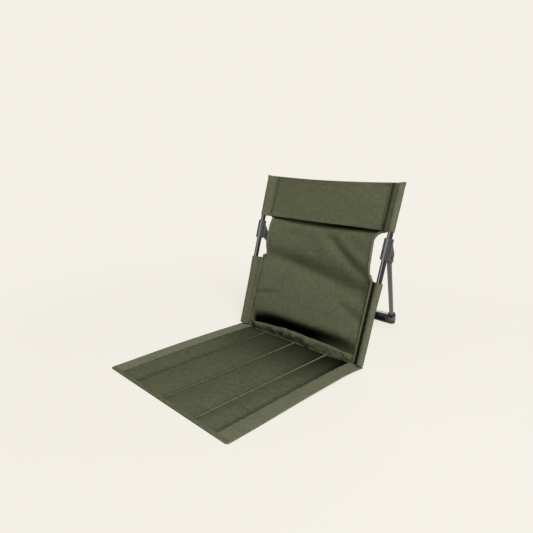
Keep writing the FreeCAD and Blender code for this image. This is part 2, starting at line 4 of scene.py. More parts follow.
import bmesh
import bpy
import numpy as np
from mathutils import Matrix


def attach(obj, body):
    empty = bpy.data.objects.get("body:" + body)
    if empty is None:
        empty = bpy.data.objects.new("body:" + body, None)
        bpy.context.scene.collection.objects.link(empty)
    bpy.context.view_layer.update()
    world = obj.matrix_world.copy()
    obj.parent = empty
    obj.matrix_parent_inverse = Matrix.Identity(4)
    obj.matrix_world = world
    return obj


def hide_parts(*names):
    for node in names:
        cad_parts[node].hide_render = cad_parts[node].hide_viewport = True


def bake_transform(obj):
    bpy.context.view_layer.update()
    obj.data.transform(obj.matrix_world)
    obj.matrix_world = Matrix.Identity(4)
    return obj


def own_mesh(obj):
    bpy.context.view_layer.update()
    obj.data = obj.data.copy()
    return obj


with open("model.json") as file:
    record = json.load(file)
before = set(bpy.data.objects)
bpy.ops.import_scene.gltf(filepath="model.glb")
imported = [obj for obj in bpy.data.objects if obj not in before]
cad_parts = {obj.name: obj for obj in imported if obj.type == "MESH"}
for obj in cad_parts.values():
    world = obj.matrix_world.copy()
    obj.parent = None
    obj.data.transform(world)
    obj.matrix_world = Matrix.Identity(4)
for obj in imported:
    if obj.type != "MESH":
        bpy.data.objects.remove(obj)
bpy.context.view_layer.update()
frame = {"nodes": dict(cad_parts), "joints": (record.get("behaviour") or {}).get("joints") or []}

MM = 0.001
SIDES = {"left": -1.0, "right": 1.0}
ACROSS, REARWARDS, UPWARDS = np.eye(3)

# The back tubes' lines pass through the origin's line and the fold's axis, which gives their lean.
FOLD_AXIS = np.array(next(joint["pos_m"] for joint in frame["joints"] if joint["name"] == "back_fold"))
UP = FOLD_AXIS / np.linalg.norm(FOLD_AXIS)
BEHIND = np.cross(UP, ACROSS)
FRONT = -BEHIND

# Cloth and sewing.
CLOTH = 0.9 * MM
SLEEVE_CLOTH = 0.8 * MM
BASE_TOP = 1.0 * MM
SEAM_LEVEL = 2.3 * MM
HEM_WIDTH = 9.0 * MM
SEAT_CORNER = 6.0 * MM
TUCK = 3.0 * MM
HEAD_TUCK = 1.5 * MM
TOP_SAG = 3.6 * MM
TOP_DROP = 1.5 * MM

# The sleeves' seams: how far outside the solids' seam, how far behind the tubes, and half how thick.
LOW_SEAM_OUT = 5.0 * MM
HEAD_SEAM_OUT = 1.5 * MM
SEAM_BEHIND = 4.0 * MM
SLEEVE_SEAM = 1.2 * MM


def reach(node, direction):
    """How far a solid goes along a direction: (least, most)."""
    mesh = frame["nodes"][node].data
    places = np.empty(len(mesh.vertices) * 3)
    mesh.vertices.foreach_get("co", places)
    along = places.reshape(-1, 3) @ direction
    return along.min(), along.max()


# Sizes that the solids give.
sleeve_low, sleeve_high = reach("lower_sleeve_right", UP)
head_low, head_high = reach("head_sleeve_right", UP)
seam_x, sleeve_side = reach("lower_sleeve_right", ACROSS)
low_seam = seam_x + LOW_SEAM_OUT
head_seam = seam_x + HEAD_SEAM_OUT
tube_x = sum(reach("back_tube_right", ACROSS)) / 2
tube_top = reach("back_tube_right", UP)[1]
sleeve_radius = sleeve_side - tube_x
panel_low = reach("back_panel", UP)[0]
back_top = head_high - TOP_DROP
half_seat = reach("seat_underside", ACROSS)[1]
seat_front, tab_rear = reach("seat_underside", REARWARDS)
border_x = reach("seat_border_right", ACROSS)[0]
seat_rear = reach("seat_border_right", REARWARDS)[1]
border_top = reach("seat_border_right", UPWARDS)[1]
crown_top = reach("seat_top", UPWARDS)[1]
rear_seam = reach("rear_strip", REARWARDS)[0]
strip_half = reach("rear_strip", ACROSS)[1]
foam_places = ("outer_left", "inner_left", "inner_right", "outer_right")
foams = [reach(f"seat_foam_{place}", ACROSS) for place in foam_places]
channel_seams = [(this[1] + following[0]) / 2 for this, following in zip(foams, foams[1:])]
seat_seams = np.array([-border_x, *channel_seams, border_x])


def smooth(start, end, value):
    """A step from 0 to 1 with soft ends."""
    share = np.clip((value - start) / (end - start), 0, 1)
    return share * share * (3 - 2 * share)


def bell(value, width):
    """1 at nought, falling off to both sides."""
    return np.exp(-((value / width) ** 2))


def wave(value, length, phase=0.0):
    return np.sin(2 * math.pi * value / length + phase)


def through(stations, value):
    """A smooth line through (place, height) stations."""
    place, height = np.asarray(stations, float).T
    slope = np.gradient(height, place)
    i = np.clip(np.searchsorted(place, value) - 1, 0, len(place) - 2)
    run = place[i + 1] - place[i]
    t = np.clip((value - place[i]) / run, 0, 1)
    rise = 3 * t**2 - 2 * t**3
    leave = (t**3 - 2 * t**2 + t) * run * slope[i]
    arrive = (t**3 - t**2) * run * slope[i + 1]
    return height[i] * (1 - rise) + height[i + 1] * rise + leave + arrive


def by_side(stations, x, value):
    return np.where(x < 0, through(stations[-1.0], value), through(stations[1.0], value))


def ripple(a, b, size, seed):
    """Unevenness of cloth, within 1 either way, in waves of about the given size."""
    total = 0
    for step in range(5):
        angle = seed + 2.4 * step
        pace = 2 * math.pi / size * (0.7 + 0.29 * step)
        total = total + np.sin(pace * (a * math.cos(angle) + b * math.sin(angle)) + 5.1 * step + seed)
    return total / 5


def uneven(a, b, waves):
    """Unevenness in several sizes: waves of (height, size, seed), in mm."""
    return sum(height * MM * ripple(a, b, size * MM, seed) for height, size, seed in waves)


def unit(vectors):
    return vectors / np.linalg.norm(vectors, axis=-1, keepdims=True)


def on_back(x, along, behind):
    """A place on the back, by how far across, along the tubes and behind their plane it is."""
    x, along, behind = np.broadcast_arrays(x, along, behind)
    return x[..., None] * ACROSS + along[..., None] * UP + behind[..., None] * BEHIND


def at(x, y, z):
    return np.stack(np.broadcast_arrays(x, y, z), axis=-1)


# Meshes are gathered from parts: points, faces, and the place of each face corner in the cloth.


def corners(table):
    return np.stack([table[:-1, :-1], table[:-1, 1:], table[1:, 1:], table[1:, :-1]], axis=2)


def run_along(line):
    """Distance along a line of points, from its start to each of them."""
    return np.concatenate([[0], np.cumsum(np.linalg.norm(np.diff(line, axis=0), axis=1))])


def skin(grid, first=0, wrap=False):
    """Faces over a grid of points, closed round its columns where wrap is set."""
    rows, columns = grid.shape[:2]
    index = np.arange(rows * columns).reshape(rows, columns) + first
    if wrap:
        index = np.concatenate([index, index[:, :1]], axis=1)
        grid = np.concatenate([grid, grid[:, :1]], axis=1)
    u = run_along(grid[rows // 2])
    v = run_along(grid[:, grid.shape[1] // 2])
    place = np.stack(np.meshgrid(u, v), axis=-1)
    return corners(index).reshape(-1, 4).tolist(), corners(place).reshape(-1, 4, 2).tolist()


def wall_part(face, other, wrap=False):
    """A closed sheet between two grids of points, or a pipe's wall where they wrap round."""
    rows, columns = face.shape[:2]
    count = rows * columns
    faces, places = skin(face, 0, wrap)
    other_faces, other_places = skin(other, count, wrap)
    faces += other_faces
    index = np.arange(count).reshape(rows, columns)
    edge = np.concatenate([index[0, :-1], index[:-1, -1], index[-1, :0:-1], index[:0:-1, 0]])
    for rim in (index[0], index[-1]) if wrap else (edge,):
        after = np.roll(rim, -1)
        faces += np.stack([after, rim, rim + count, after + count], axis=1).tolist()
    return np.concatenate([face.reshape(-1, 3), other.reshape(-1, 3)]), faces, places + other_places


def solid_part(grid):
    """A closed form whose cross sections are the rows of a grid."""
    rows, columns = grid.shape[:2]
    faces, places = skin(grid, wrap=True)
    ends = [list(range(columns))[::-1], list(range((rows - 1) * columns, rows * columns))]
    return grid.reshape(-1, 3), faces + ends, places


def joined(parts):
    """Parts as one. A part's last faces, its rims or ends, have no place in the cloth."""
    points, faces, places, first = [], [], [], 0
    for part_points, part_faces, part_places in parts:
        points.append(part_points)
        faces += [[corner + first for corner in face] for face in part_faces]
        places += part_places + [[(0.0, 0.0)] * len(face) for face in part_faces[len(part_places):]]
        first += len(part_points)
    return np.concatenate(points), faces, places


SHARP_EDGE = math.radians(55)
scene = bpy.context.scene


def add_object(name, data):
    thing = bpy.data.objects.new(name, data)
    scene.collection.objects.link(thing)
    return thing


def make(name, parts, material, body=None, painted_shading=None):
    """One object from its parts. Its painted shading sets light and shade painted on each point, and it rides
    on a body where one is given.
    """
    points, faces, places = joined(parts)
    mesh = bpy.data.meshes.new(name)
    mesh.from_pydata(points.tolist(), [], faces)
    layer = mesh.uv_layers.new(name="Cloth")
    layer.data.foreach_set("uv", np.concatenate([np.asarray(place).ravel() for place in places]))
    # The painted shading: a share of colour for each point, standing for light and shade painted on the
    # cloth.
    shading_layer = mesh.attributes.new("PaintedShading", "FLOAT", "POINT")
    shading_layer.data.foreach_set("value", np.ones(len(points)) if painted_shading is None else np.ravel(painted_shading))
    form = bmesh.new()
    form.from_mesh(mesh)
    bmesh.ops.recalc_face_normals(form, faces=form.faces)
    form.to_mesh(mesh)
    form.free()
    mesh.shade_smooth()
    mesh.set_sharp_from_angle(angle=SHARP_EDGE)
    mesh.materials.append(material)
    piece = add_object(name, mesh)
    if body:
        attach(piece, body)
    return piece


def front_painted_shading(tone):
    """The painted shading of a sheet whose front alone has it; its back stays plain."""
    return np.stack([tone, np.ones_like(tone)])


def normals(grid):
    return unit(np.cross(np.gradient(grid, axis=1), np.gradient(grid, axis=0)))


def sweep(path, facing, section):
    """A closed section of (aside, out) points carried along a path, with out along facing."""
    ahead = unit(np.gradient(path, axis=0))
    facing = np.broadcast_to(facing, path.shape)
    out = unit(facing - (facing * ahead).sum(axis=-1, keepdims=True) * ahead)
    aside = np.cross(ahead, out)
    return path[:, None] + section[None, :, :1] * aside[:, None] + section[None, :, 1:] * out[:, None]


def oval(width, height, power, count):
    """A rounded section, squarer with a higher power."""
    turn = np.arange(count) / count * 2 * math.pi
    c, s = np.cos(turn), np.sin(turn)
    aside = np.sign(c) * np.abs(c) ** (2 / power) * width / 2
    out = np.sign(s) * np.abs(s) ** (2 / power) * height / 2
    return np.stack([aside, out], axis=1)


# Sections of sewn edges and thread: width and height in mm, power, and points round.
SECTIONS = {
    "front_hem": (9.0, 3.2, 3.0, 20),
    "seat_welt": (3.4, 3.0, 2.0, 14),
    "rear_welt": (2.6, 2.6, 2.0, 14),
    "binding": (6.0, 4.2, 2.6, 16),
    "seam_piping": (3.0, 4.0, 2.0, 12),
    "head_piping": (2.8, 2.6, 2.0, 12),
    "head_hem": (9.0, 2.6, 3.2, 20),
    "head_roll": (5.5, 6.4, 2.6, 20),
    "stitch": (0.75, 0.6, 2.0, 6),
    "tack_thread": (0.6, 0.6, 2.0, 6),
}


def section(kind):
    width, height, power, count = SECTIONS[kind]
    return oval(width * MM, height * MM, power, count)


def edging(path, facing, kind):
    return solid_part(sweep(path, facing, section(kind)))


# A stitch: its length, the way to the next one, and its lift and swell from end to end.
STITCH_LENGTH = 3.0 * MM
STITCH_PITCH = 4.1 * MM
STITCH_STATIONS = np.array([-0.5, -0.3, 0.0, 0.3, 0.5]) * STITCH_LENGTH
STITCH_LIFT = np.array([[-0.2625], [0.075], [0.1875], [0.075], [-0.2625]]) * MM
STITCH_SWELL = np.array([0.35, 0.95, 1.0, 0.95, 0.35])[:, None, None]


def stitches(path, facing):
    """Stitches along a line: short rounded lengths of thread that dip into the cloth at their ends."""
    run = run_along(path)
    facing = np.broadcast_to(facing, path.shape)
    parts = []
    for middle in np.arange(STITCH_PITCH, run[-1] - STITCH_PITCH / 2, STITCH_PITCH):
        places = middle + STITCH_STATIONS
        line, out = (
            np.stack([np.interp(places, run, values[:, axis]) for axis in range(3)], axis=1)
            for values in (path, facing)
        )
        line = line + out * STITCH_LIFT
        grid = sweep(line, out, section("stitch"))
        parts.append(solid_part(line[:, None] + (grid - line[:, None]) * STITCH_SWELL))
    return parts


# Materials.


def colour(red, green, blue):
    """A shader colour from display values of 0 to 255."""
    share = np.array([red, green, blue]) / 255
    plain = np.where(share <= 0.04045, share / 12.92, ((share + 0.055) / 1.055) ** 2.4)
    return (*plain.tolist(), 1.0)


class Nodes:
    def __init__(self, tree):
        self.tree = tree

    def add(self, kind, inputs=None, **settings):
        node = self.tree.nodes.new(f"ShaderNode{kind}")
        for setting, value in settings.items():
            setattr(node, setting, value)
        for socket, value in (inputs or {}).items():
            self.feed(node.inputs[socket], value)
        return node

    def feed(self, socket, value):
        if isinstance(value, bpy.types.NodeSocket):
            self.tree.links.new(value, socket)
        else:
            socket.default_value = value

    def math(self, operation, *values):
        return self.add("Math", dict(enumerate(values)), operation=operation).outputs[0]

    def seen_directly(self):
        """1 for what the camera, a reflection or a clear material sees directly."""
        path = self.add("LightPath")
        seen = self.math("MAXIMUM", path.outputs["Is Camera Ray"], path.outputs["Is Glossy Ray"])
        return self.math("MAXIMUM", seen, path.outputs["Is Transmission Ray"])

    def show_mix(self, output, share, first, second):
        mix = self.add("MixShader", {0: share, 1: first.outputs[0], 2: second.outputs[0]})
        self.feed(self.tree.nodes[output].inputs["Surface"], mix.outputs[0])


class Look(Nodes):
    """A material whose main shader is fed by nodes."""

    def __init__(self, name, sockets):
        self.material = bpy.data.materials.new(name)
        self.material.use_nodes = True
        super().__init__(self.material.node_tree)
        self.shader = self.tree.nodes["Principled BSDF"]
        self.body = self.add("TexCoord").outputs["Object"]
        for socket, value in sockets.items():
            self.set(socket, value)

    def set(self, socket, value):
        self.feed(self.shader.inputs[socket], value)

    def noise(self, scales, detail, place=None):
        """Noise with one scale, or with one along each axis."""
        scales = np.broadcast_to(scales, 3).tolist()
        spread = self.add("VectorMath", {0: place or self.body, 1: scales}, operation="MULTIPLY")
        node = self.add("TexNoise", {"Vector": spread.outputs[0], "Scale": 1.0, "Detail": detail})
        return node.outputs["Fac"]

    def total(self, base, terms):
        """A base value and shares of patterns whose middle is a half."""
        value = base
        for pattern, weight in terms:
            centred = self.math("SUBTRACT", pattern, 0.5)
            value = self.math("MULTIPLY_ADD", centred, weight, value)
        return value

    def finish(self, tone, shade, roughness, reliefs):
        """Sets tone, shade and roughness, and reliefs of (pattern, strength, height)."""
        self.set("Base Color", self.add("HueSaturation", {"Color": tone, "Value": shade}).outputs[0])
        self.set("Roughness", roughness)
        for pattern, strength, height in reliefs:
            node = self.add("Bump", {"Height": pattern, "Strength": strength, "Distance": height})
            for below in self.shader.inputs["Normal"].links:
                self.feed(node.inputs["Normal"], below.from_socket)
            self.set("Normal", node.outputs[0])
        return self.material


WEAVE_PITCH = 1.15 * MM
CLOTH_SHEEN = 0.15
CLOTH_GLOSS = 0.04


def cloth_look(name, tone):
    """Woven polyester: over-and-under threads, uneven yarn, faint mottling and a dry sheen."""
    look = Look(name, {"Sheen Roughness": 0.4, "Sheen Tint": tone})
    laid = look.add("UVMap", uv_map="Cloth").outputs[0]
    split = look.add("SeparateXYZ", {0: laid})
    pace = 2 * math.pi / WEAVE_PITCH
    warp, weft = (look.math("SINE", look.math("MULTIPLY", split.outputs[axis], pace)) for axis in (0, 1))
    weave = look.math("MULTIPLY_ADD", look.math("MULTIPLY", warp, weft), 0.5, 0.5)
    yarn_along = look.noise((60, 1100, 1), 2.0, laid)
    yarn_across = look.noise((1100, 60, 1), 2.0, laid)
    mottle = look.noise(140, 4.0)
    patch = look.noise(16, 2.0)
    fleck = look.noise(420, 3.0)
    threads = [(weave, 0.24), (yarn_along, 0.4), (yarn_across, 0.4)]
    shade = look.total(1.0, threads + [(fleck, 0.9), (mottle, 0.6), (patch, 0.22)])
    # The painted shading darkens the cloth's colour, and its sheen and gloss too, so that painted shade goes
    # nearly black.
    painted_shading = look.add("Attribute", attribute_name="PaintedShading").outputs["Fac"]
    look.set("Sheen Weight", look.math("MULTIPLY", painted_shading, CLOTH_SHEEN))
    look.set("Specular IOR Level", look.math("MULTIPLY", painted_shading, CLOTH_GLOSS))
    roughness = look.total(0.8, [(weave, 0.12), (mottle, 0.18)])
    reliefs = [(weave, 0.55, 0.16 * MM), (fleck, 0.4, 0.3 * MM), (mottle, 0.3, 0.4 * MM)]
    return look.finish(tone, look.math("MULTIPLY", shade, painted_shading), roughness, reliefs)


def thread_look(name, tone):
    """Twisted thread."""
    look = Look(name, {"Specular IOR Level": 0.35, "Sheen Weight": 0.1})
    twist = look.noise((2600, 3380, 1820), 1.0)
    shade = look.total(1.0, [(twist, 0.5), (look.noise(600, 2.0), 0.3)])
    return look.finish(tone, shade, look.total(0.62, [(twist, 0.2)]), [(twist, 0.5, 0.1 * MM)])


def enamel_look(name, tone, roughness, coat):
    """Painted tube: a faint orange-peel skin, rubbed lengthwise, with a little dust."""
    look = Look(name, {"Coat Weight": coat, "Coat Roughness": 0.12, "Specular IOR Level": 0.5})
    rub = look.noise((900, 900, 18), 3.0)
    dust = look.noise(60, 5.0)
    shade = look.total(1.0, [(rub, 0.35), (dust, 0.45)])
    reliefs = [(look.noise(900, 1.0), 0.12, 0.05 * MM), (rub, 0.08, 0.04 * MM)]
    return look.finish(tone, shade, look.total(roughness, [(rub, 0.16), (dust, 0.14)]), reliefs)


def plastic_look(name, tone, roughness):
    """Moulded plastic with a fine spark-eroded grain and paler rubbed places."""
    look = Look(name, {"Specular IOR Level": 0.45})
    grain = look.noise(1900, 2.0)
    flow = look.noise(45, 4.0)
    scuff = look.noise((130, 320, 90), 5.0)
    rubbed = look.add("MapRange", {"Value": scuff, "From Min": 0.58, "From Max": 0.74}).outputs[0]
    shade = look.total(1.0, [(grain, 0.3), (flow, 0.3)])
    shade = look.math("ADD", shade, look.math("MULTIPLY", rubbed, 0.4))
    roughness = look.total(roughness, [(flow, 0.16), (grain, 0.14)])
    return look.finish(tone, shade, roughness, [(grain, 0.35, 0.07 * MM), (flow, 0.1, 0.2 * MM)])


def steel_look(name, tone):
    """Blackened steel, with fine tool lines and a dull film."""
    look = Look(name, {"Metallic": 1.0})
    lines = look.noise((40, 2600, 2600), 2.0)
    film = look.noise(220, 4.0)
    shade = look.total(1.0, [(lines, 0.3), (film, 0.35)])
    roughness = look.total(0.34, [(lines, 0.2), (film, 0.22)])
    return look.finish(tone, shade, roughness, [(lines, 0.2, 0.03 * MM)])


OLIVE = cloth_look("olive_cloth", colour(94, 97, 74))
# A darker copy of the olive cloth for the seat and the head piping: painted shade.
SHADED_OLIVE = cloth_look("shaded_olive_cloth", colour(86, 89, 67))
OLIVE_BAND = cloth_look("olive_band_cloth", colour(108, 111, 88))
# A lighter copy of the olive cloth for the sleeves and the seat's welts: painted light.
LIT_OLIVE = cloth_look("lit_olive_cloth", colour(99, 102, 79))
OLIVE_BASE = cloth_look("olive_base_cloth", colour(70, 73, 56))
THREAD = thread_look("olive_thread", colour(98, 101, 78))
DARK_THREAD = thread_look("dark_thread", colour(40, 42, 34))
BLACK_TUBE = enamel_look("black_enamel", colour(16, 16, 19), 0.16, 0.0)
GREY_TUBE = enamel_look("grey_enamel", colour(42, 42, 45), 0.32, 0.2)
GREY_PLASTIC = plastic_look("grey_plastic", colour(50, 50, 53), 0.36)
KNUCKLE_GREY = plastic_look("knuckle_plastic", colour(58, 58, 61), 0.4)
BLACK_PLASTIC = plastic_look("black_plastic", colour(28, 28, 30), 0.5)
STEEL = steel_look("blackened_steel", colour(58, 58, 60))

# The finish of each solid that has one on the left and one on the right.
SOLID_LOOKS = {
    "back_tube": BLACK_TUBE,
    "tube_top_plug": BLACK_PLASTIC,
    "tube_bottom_plug": BLACK_PLASTIC,
    "leg_bracket": GREY_PLASTIC,
    "bracket_screw": STEEL,
    "hinge_pin": STEEL,
    "leg_knuckle": KNUCKLE_GREY,
    "knuckle_rivet": STEEL,
    "collar_rivet": STEEL,
    "leg": GREY_TUBE,
}


def dress_solids():
    """The rigid solids keep their shape and get their finish."""
    looks = {f"{kind}_{side}": look for kind, look in SOLID_LOOKS.items() for side in SIDES}
    looks["foot_bar"] = GREY_PLASTIC
    for name, look in looks.items():
        mesh = frame["nodes"][name].data
        mesh.materials.clear()
        mesh.materials.append(look)


# The seat.

# How far each border band's outer edge stands off the floor, and the share of that at its inner edge.
EDGE_LIFT = {
    -1.0: np.array([(-385, 0.2), (-330, 1.2), (-230, 3.0), (-120, 2.8), (-40, 1.2), (6, 0.2)]) * MM,
    1.0: np.array([
        (-385, 0.2), (-320, 1.2), (-250, 3.4), (-180, 5.4), (-110, 6.3), (-50, 6.2), (-18, 3.4), (6, 0.3),
    ]) * MM,
}
EDGE_SHARE = 0.55

# The cover: its crowns' ends and shape, its waves, tucks beside its seams, and gathers along its rear.
CROWN_RUN = 22.0 * MM
CROWN_POWER = 2.2
COVER_WAVES = [(0.55, 150, 1.3), (0.25, 48, 4.1)]
PULL_START = 2.5 * MM
PULL_REACH = 13 * MM
PULL_PITCH = 21 * MM
PULL_HEIGHT = 0.45 * MM
GATHER_REACH = 26 * MM
GATHER_PITCH = 19 * MM
GATHER_HEIGHT = 0.8 * MM

# Painted shade on the cover: along its seams, towards the back, more at its right, and before the rear strip.
GROOVE_SHADE = 0.42
GROOVE_WIDTH = 5.5 * MM
REAR_SHADE = 0.7
REAR_SHADE_ASIDE = 0.24
REAR_SHADE_RUN = 125 * MM
CREASE_SHADE = 0.4
CREASE_RUN = 17 * MM

# The push of the foam on the seat's cover, the cover's spare length, and how far it may move.
FOAM_PUSH = 4.0
CLOTH_SLACK = 0.012
SETTLE_STEPS = 20
SETTLE_MOST = 3.5 * MM


def seat_half(y):
    """Half the seat's width, rounded off at its front corners."""
    into = np.clip(SEAT_CORNER - (y - seat_front), 0, SEAT_CORNER)
    return half_seat - SEAT_CORNER + np.sqrt(SEAT_CORNER**2 - into**2)


def seat_rows(first_turn, corner_rows, rows):
    """Places along the seat, closer together round its front corners."""
    corner = SEAT_CORNER * (1 - np.cos(np.linspace(first_turn, math.pi / 2, corner_rows)))
    return np.concatenate([seat_front + corner, np.linspace(seat_front + SEAT_CORNER, seat_rear, rows)[1:]])


def seat_lift(x, y):
    """How far the seat stands off the floor, towards its side edges."""
    inner = smooth(channel_seams[-1], border_x, np.abs(x)) * EDGE_SHARE
    outer = np.clip((np.abs(x) - border_x) / (half_seat - border_x), 0, 1) * (1 - EDGE_SHARE)
    return (inner + outer) * by_side(EDGE_LIFT, x, y)


def cover_height(x, y):
    """Height of the seat's cover, crowned over each foam channel and drawn down along its seams."""
    channel = np.clip(np.searchsorted(seat_seams, x) - 1, 0, len(seat_seams) - 2)
    width = seat_seams[channel + 1] - seat_seams[channel]
    share = np.clip((x - seat_seams[channel]) / width, 0, 1)
    aside = np.minimum(share, 1 - share) * width
    front_end = smooth(-4 * MM, CROWN_RUN, y - seat_front - HEM_WIDTH)
    crown = 1 - np.abs(2 * share - 1) ** CROWN_POWER
    swell = crown * front_end * smooth(-6 * MM, CROWN_RUN, rear_seam - y)
    pull = np.exp(-aside / PULL_REACH) * (1 - np.exp(-aside / PULL_START))
    tucks = pull * wave(y, PULL_PITCH, 2.1 * channel + 1.7 * np.sin(37 * y + channel))
    gathers = np.exp(-np.abs(rear_seam - y) / GATHER_REACH) * wave(x, GATHER_PITCH, 1.9 * np.sin(61 * x))
    height = SEAM_LEVEL + swell * (crown_top - SEAM_LEVEL + uneven(x, y, COVER_WAVES))
    return height + seat_lift(x, y) + PULL_HEIGHT * tucks + GATHER_HEIGHT * gathers * crown


# Painted shade on the seat's cover.
def cover_painted_shade(x, y):
    aside = np.abs(x[..., None] - seat_seams).min(axis=-1)
    before = rear_seam - y
    groove = 1 - GROOVE_SHADE * bell(aside, GROOVE_WIDTH)
    rear = 1 - (REAR_SHADE + REAR_SHADE_ASIDE * x / border_x) * bell(before, REAR_SHADE_RUN)
    return groove * rear * (1 - CREASE_SHADE * np.exp(-np.maximum(before, 0) / CREASE_RUN))


def channel_columns():
    """Places across the seat, close together along its seams."""
    edges = [-border_x - TUCK, *channel_seams, border_x + TUCK]
    even = np.linspace(0, 1, 23)
    share = 0.6 * even + 0.2 * (1 - np.cos(math.pi * even))
    runs = [low + (high - low) * share[:-1] for low, high in zip(edges, edges[1:])]
    return np.concatenate([*runs, edges[-1:]])


def settle(piece, sewn):
    """Lets a pad's cloth settle under its foam's push, held where it is sewn. Returns its points."""
    mesh = piece.data
    start = np.empty((len(mesh.vertices), 3))
    mesh.vertices.foreach_get("co", start.ravel())
    piece.vertex_groups.new(name="sewn").add(sewn.tolist(), 1.0, "REPLACE")
    cloth = piece.modifiers.new("settle", "CLOTH")
    cloth.settings.vertex_group_mass = "sewn"
    cloth.settings.use_pressure = True
    cloth.settings.uniform_pressure_force = FOAM_PUSH
    cloth.settings.shrink_min = -CLOTH_SLACK
    cloth.settings.effector_weights.gravity = 0.0
    for step in range(1, SETTLE_STEPS + 1):
        scene.frame_set(step)
    settled = np.empty_like(start)
    done = piece.evaluated_get(bpy.context.evaluated_depsgraph_get())
    done.data.vertices.foreach_get("co", settled.ravel())
    scene.frame_set(1)
    piece.modifiers.remove(cloth)
    moved = settled - start
    far = np.linalg.norm(moved, axis=1, keepdims=True)
    settled = start + moved * np.minimum(1, SETTLE_MOST / np.maximum(far, 1e-9))
    mesh.vertices.foreach_set("co", settled.ravel())
    mesh.update()
    return settled


def make_cover():
    x, y = np.meshgrid(channel_columns(), np.linspace(seat_front + 2 * MM, rear_seam, 90))
    top = at(x, y, cover_height(x, y))
    part = wall_part(top, at(x, y, BASE_TOP + 0.1 * MM + seat_lift(x, y)))
    cover = make("seat_cover", [part], SHADED_OLIVE, "seat", front_painted_shading(cover_painted_shade(x, y)))
    loose = np.abs(x[..., None] - seat_seams).min(axis=-1) > 0.1 * MM
    loose[[0, -1]] = False
    loose[:, np.abs(x[0]) > border_x] = False
    sewn = np.flatnonzero(~np.concatenate([loose.ravel(), np.zeros(x.size, bool)]))
    settled = settle(cover, sewn)[:x.size].reshape(top.shape)
    finer = cover.modifiers.new("finer", "SUBSURF")
    finer.levels = finer.render_levels = 1
    foam_nodes = [f"seat_foam_{place}_{side}" for place in ("outer", "inner") for side in SIDES]
    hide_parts("seat_top", *foam_nodes)
    return settled


BASE_INSET = 1.2 * MM
BASE_UNDER = 0.1 * MM


def make_base():
    """The underside cloth, with the narrower tab at its rear that the strip is sewn to."""
    y = seat_rows(0.0, 10, 60)
    tab = np.linspace(seat_rear + 0.2 * MM, tab_rear, 6)
    half = np.concatenate([seat_half(y) - BASE_INSET, np.full(len(tab), strip_half)])[:, None]
    y = np.concatenate([y, tab])[:, None]
    x = np.linspace(-1, 1, 61) * half
    under = BASE_UNDER + BASE_UNDER * (1 + ripple(x, y, 60 * MM, 0.4)) / 2
    lift = seat_lift(x, y)
    part = wall_part(at(x, y, BASE_TOP + lift), at(x, y, under + lift))
    base = make("seat_base", [part], OLIVE_BASE, "seat")
    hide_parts("seat_underside")
    make_front_hem()


# A border band's section, from its inner fold out and round, and each band's painted shading: painted light
# on the left band, painted shade on the right.
BAND_SECTION = np.array([
    (0, 2.2), (0.4, 2.9), (1.6, 3.3), (6, 3.5), (14, 3.45), (22, 3.4), (30, 3.35), (34, 3.1), (36, 2.5),
    (37, 1.6), (36.8, 0.8), (36, 0.2), (34.4, 0.25), (33, 1.05), (20, 1.05), (8, 1.05), (1.6, 1.1),
    (0.3, 1.6),
]) * MM
BAND_PAINTED_SHADING = {-1.0: 1.05, 1.0: 0.97}
BAND_WAVE = 0.35 * MM
BAND_PULL = 0.3 * MM
BAND_PULL_PITCH = 17 * MM
BAND_PULL_SHARE = 0.22


def make_border(side_name, side):
    """A band folded over the seat's edge."""
    out, rise = BAND_SECTION.T
    share = out / out.max()
    y = seat_rows(0.12, 12, 110)[:, None]
    x = border_x + share * (seat_half(y) - border_x)
    upper = smooth(1.2 * MM, 2.6 * MM, rise)
    pull = BAND_PULL * wave(y, BAND_PULL_PITCH, side) * np.exp(-share / BAND_PULL_SHARE)
    surface = BAND_WAVE * ripple(x, y, 55 * MM, 3.0 * side) + pull
    height = rise + seat_lift(side * x, y) + upper * surface
    grid = at(side * x, y, height * border_top / rise.max())
    # The band's painted shading: lighter on the left, darker on the right.
    tone = np.full(x.shape, BAND_PAINTED_SHADING[side])
    band = make(f"seat_band_{side_name}", [solid_part(grid)], OLIVE_BAND, "seat", tone)
    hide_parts(f"seat_border_{side_name}")


def make_front_hem():
    """The front edge, turned under once."""
    half = half_seat - 0.6 * SEAT_CORNER
    x = np.linspace(-half, half, 140)
    y = seat_front + HEM_WIDTH / 2 + 0.3 * MM + uneven(x, 0, [(0.5, 120, 0.7)])
    z = 1.75 * MM + uneven(x, 0, [(0.25, 70, 2.7)])
    return make("front_hem", [edging(at(x, y, z), UPWARDS, "front_hem")], OLIVE, "seat")


# Welts: how high they stand on the seams, and their painted shading by their place across the seat, painted
# shade at the left and painted light at the right.
WELT_LEVEL = SEAM_LEVEL + 0.9 * MM
WELT_PLACES = [-60 * MM, 0.0, 60 * MM]
WELT_PAINTED_SHADING = [0.55, 0.85, 1.05]

# Rows of stitches: beside a seat seam, from a border's inner edge, and behind the front edge.
SEAM_ROWS = (-3.0 * MM, 3.0 * MM)
BORDER_ROWS = (2.2 * MM, 32.5 * MM)
FRONT_ROW = HEM_WIDTH - 2.0 * MM


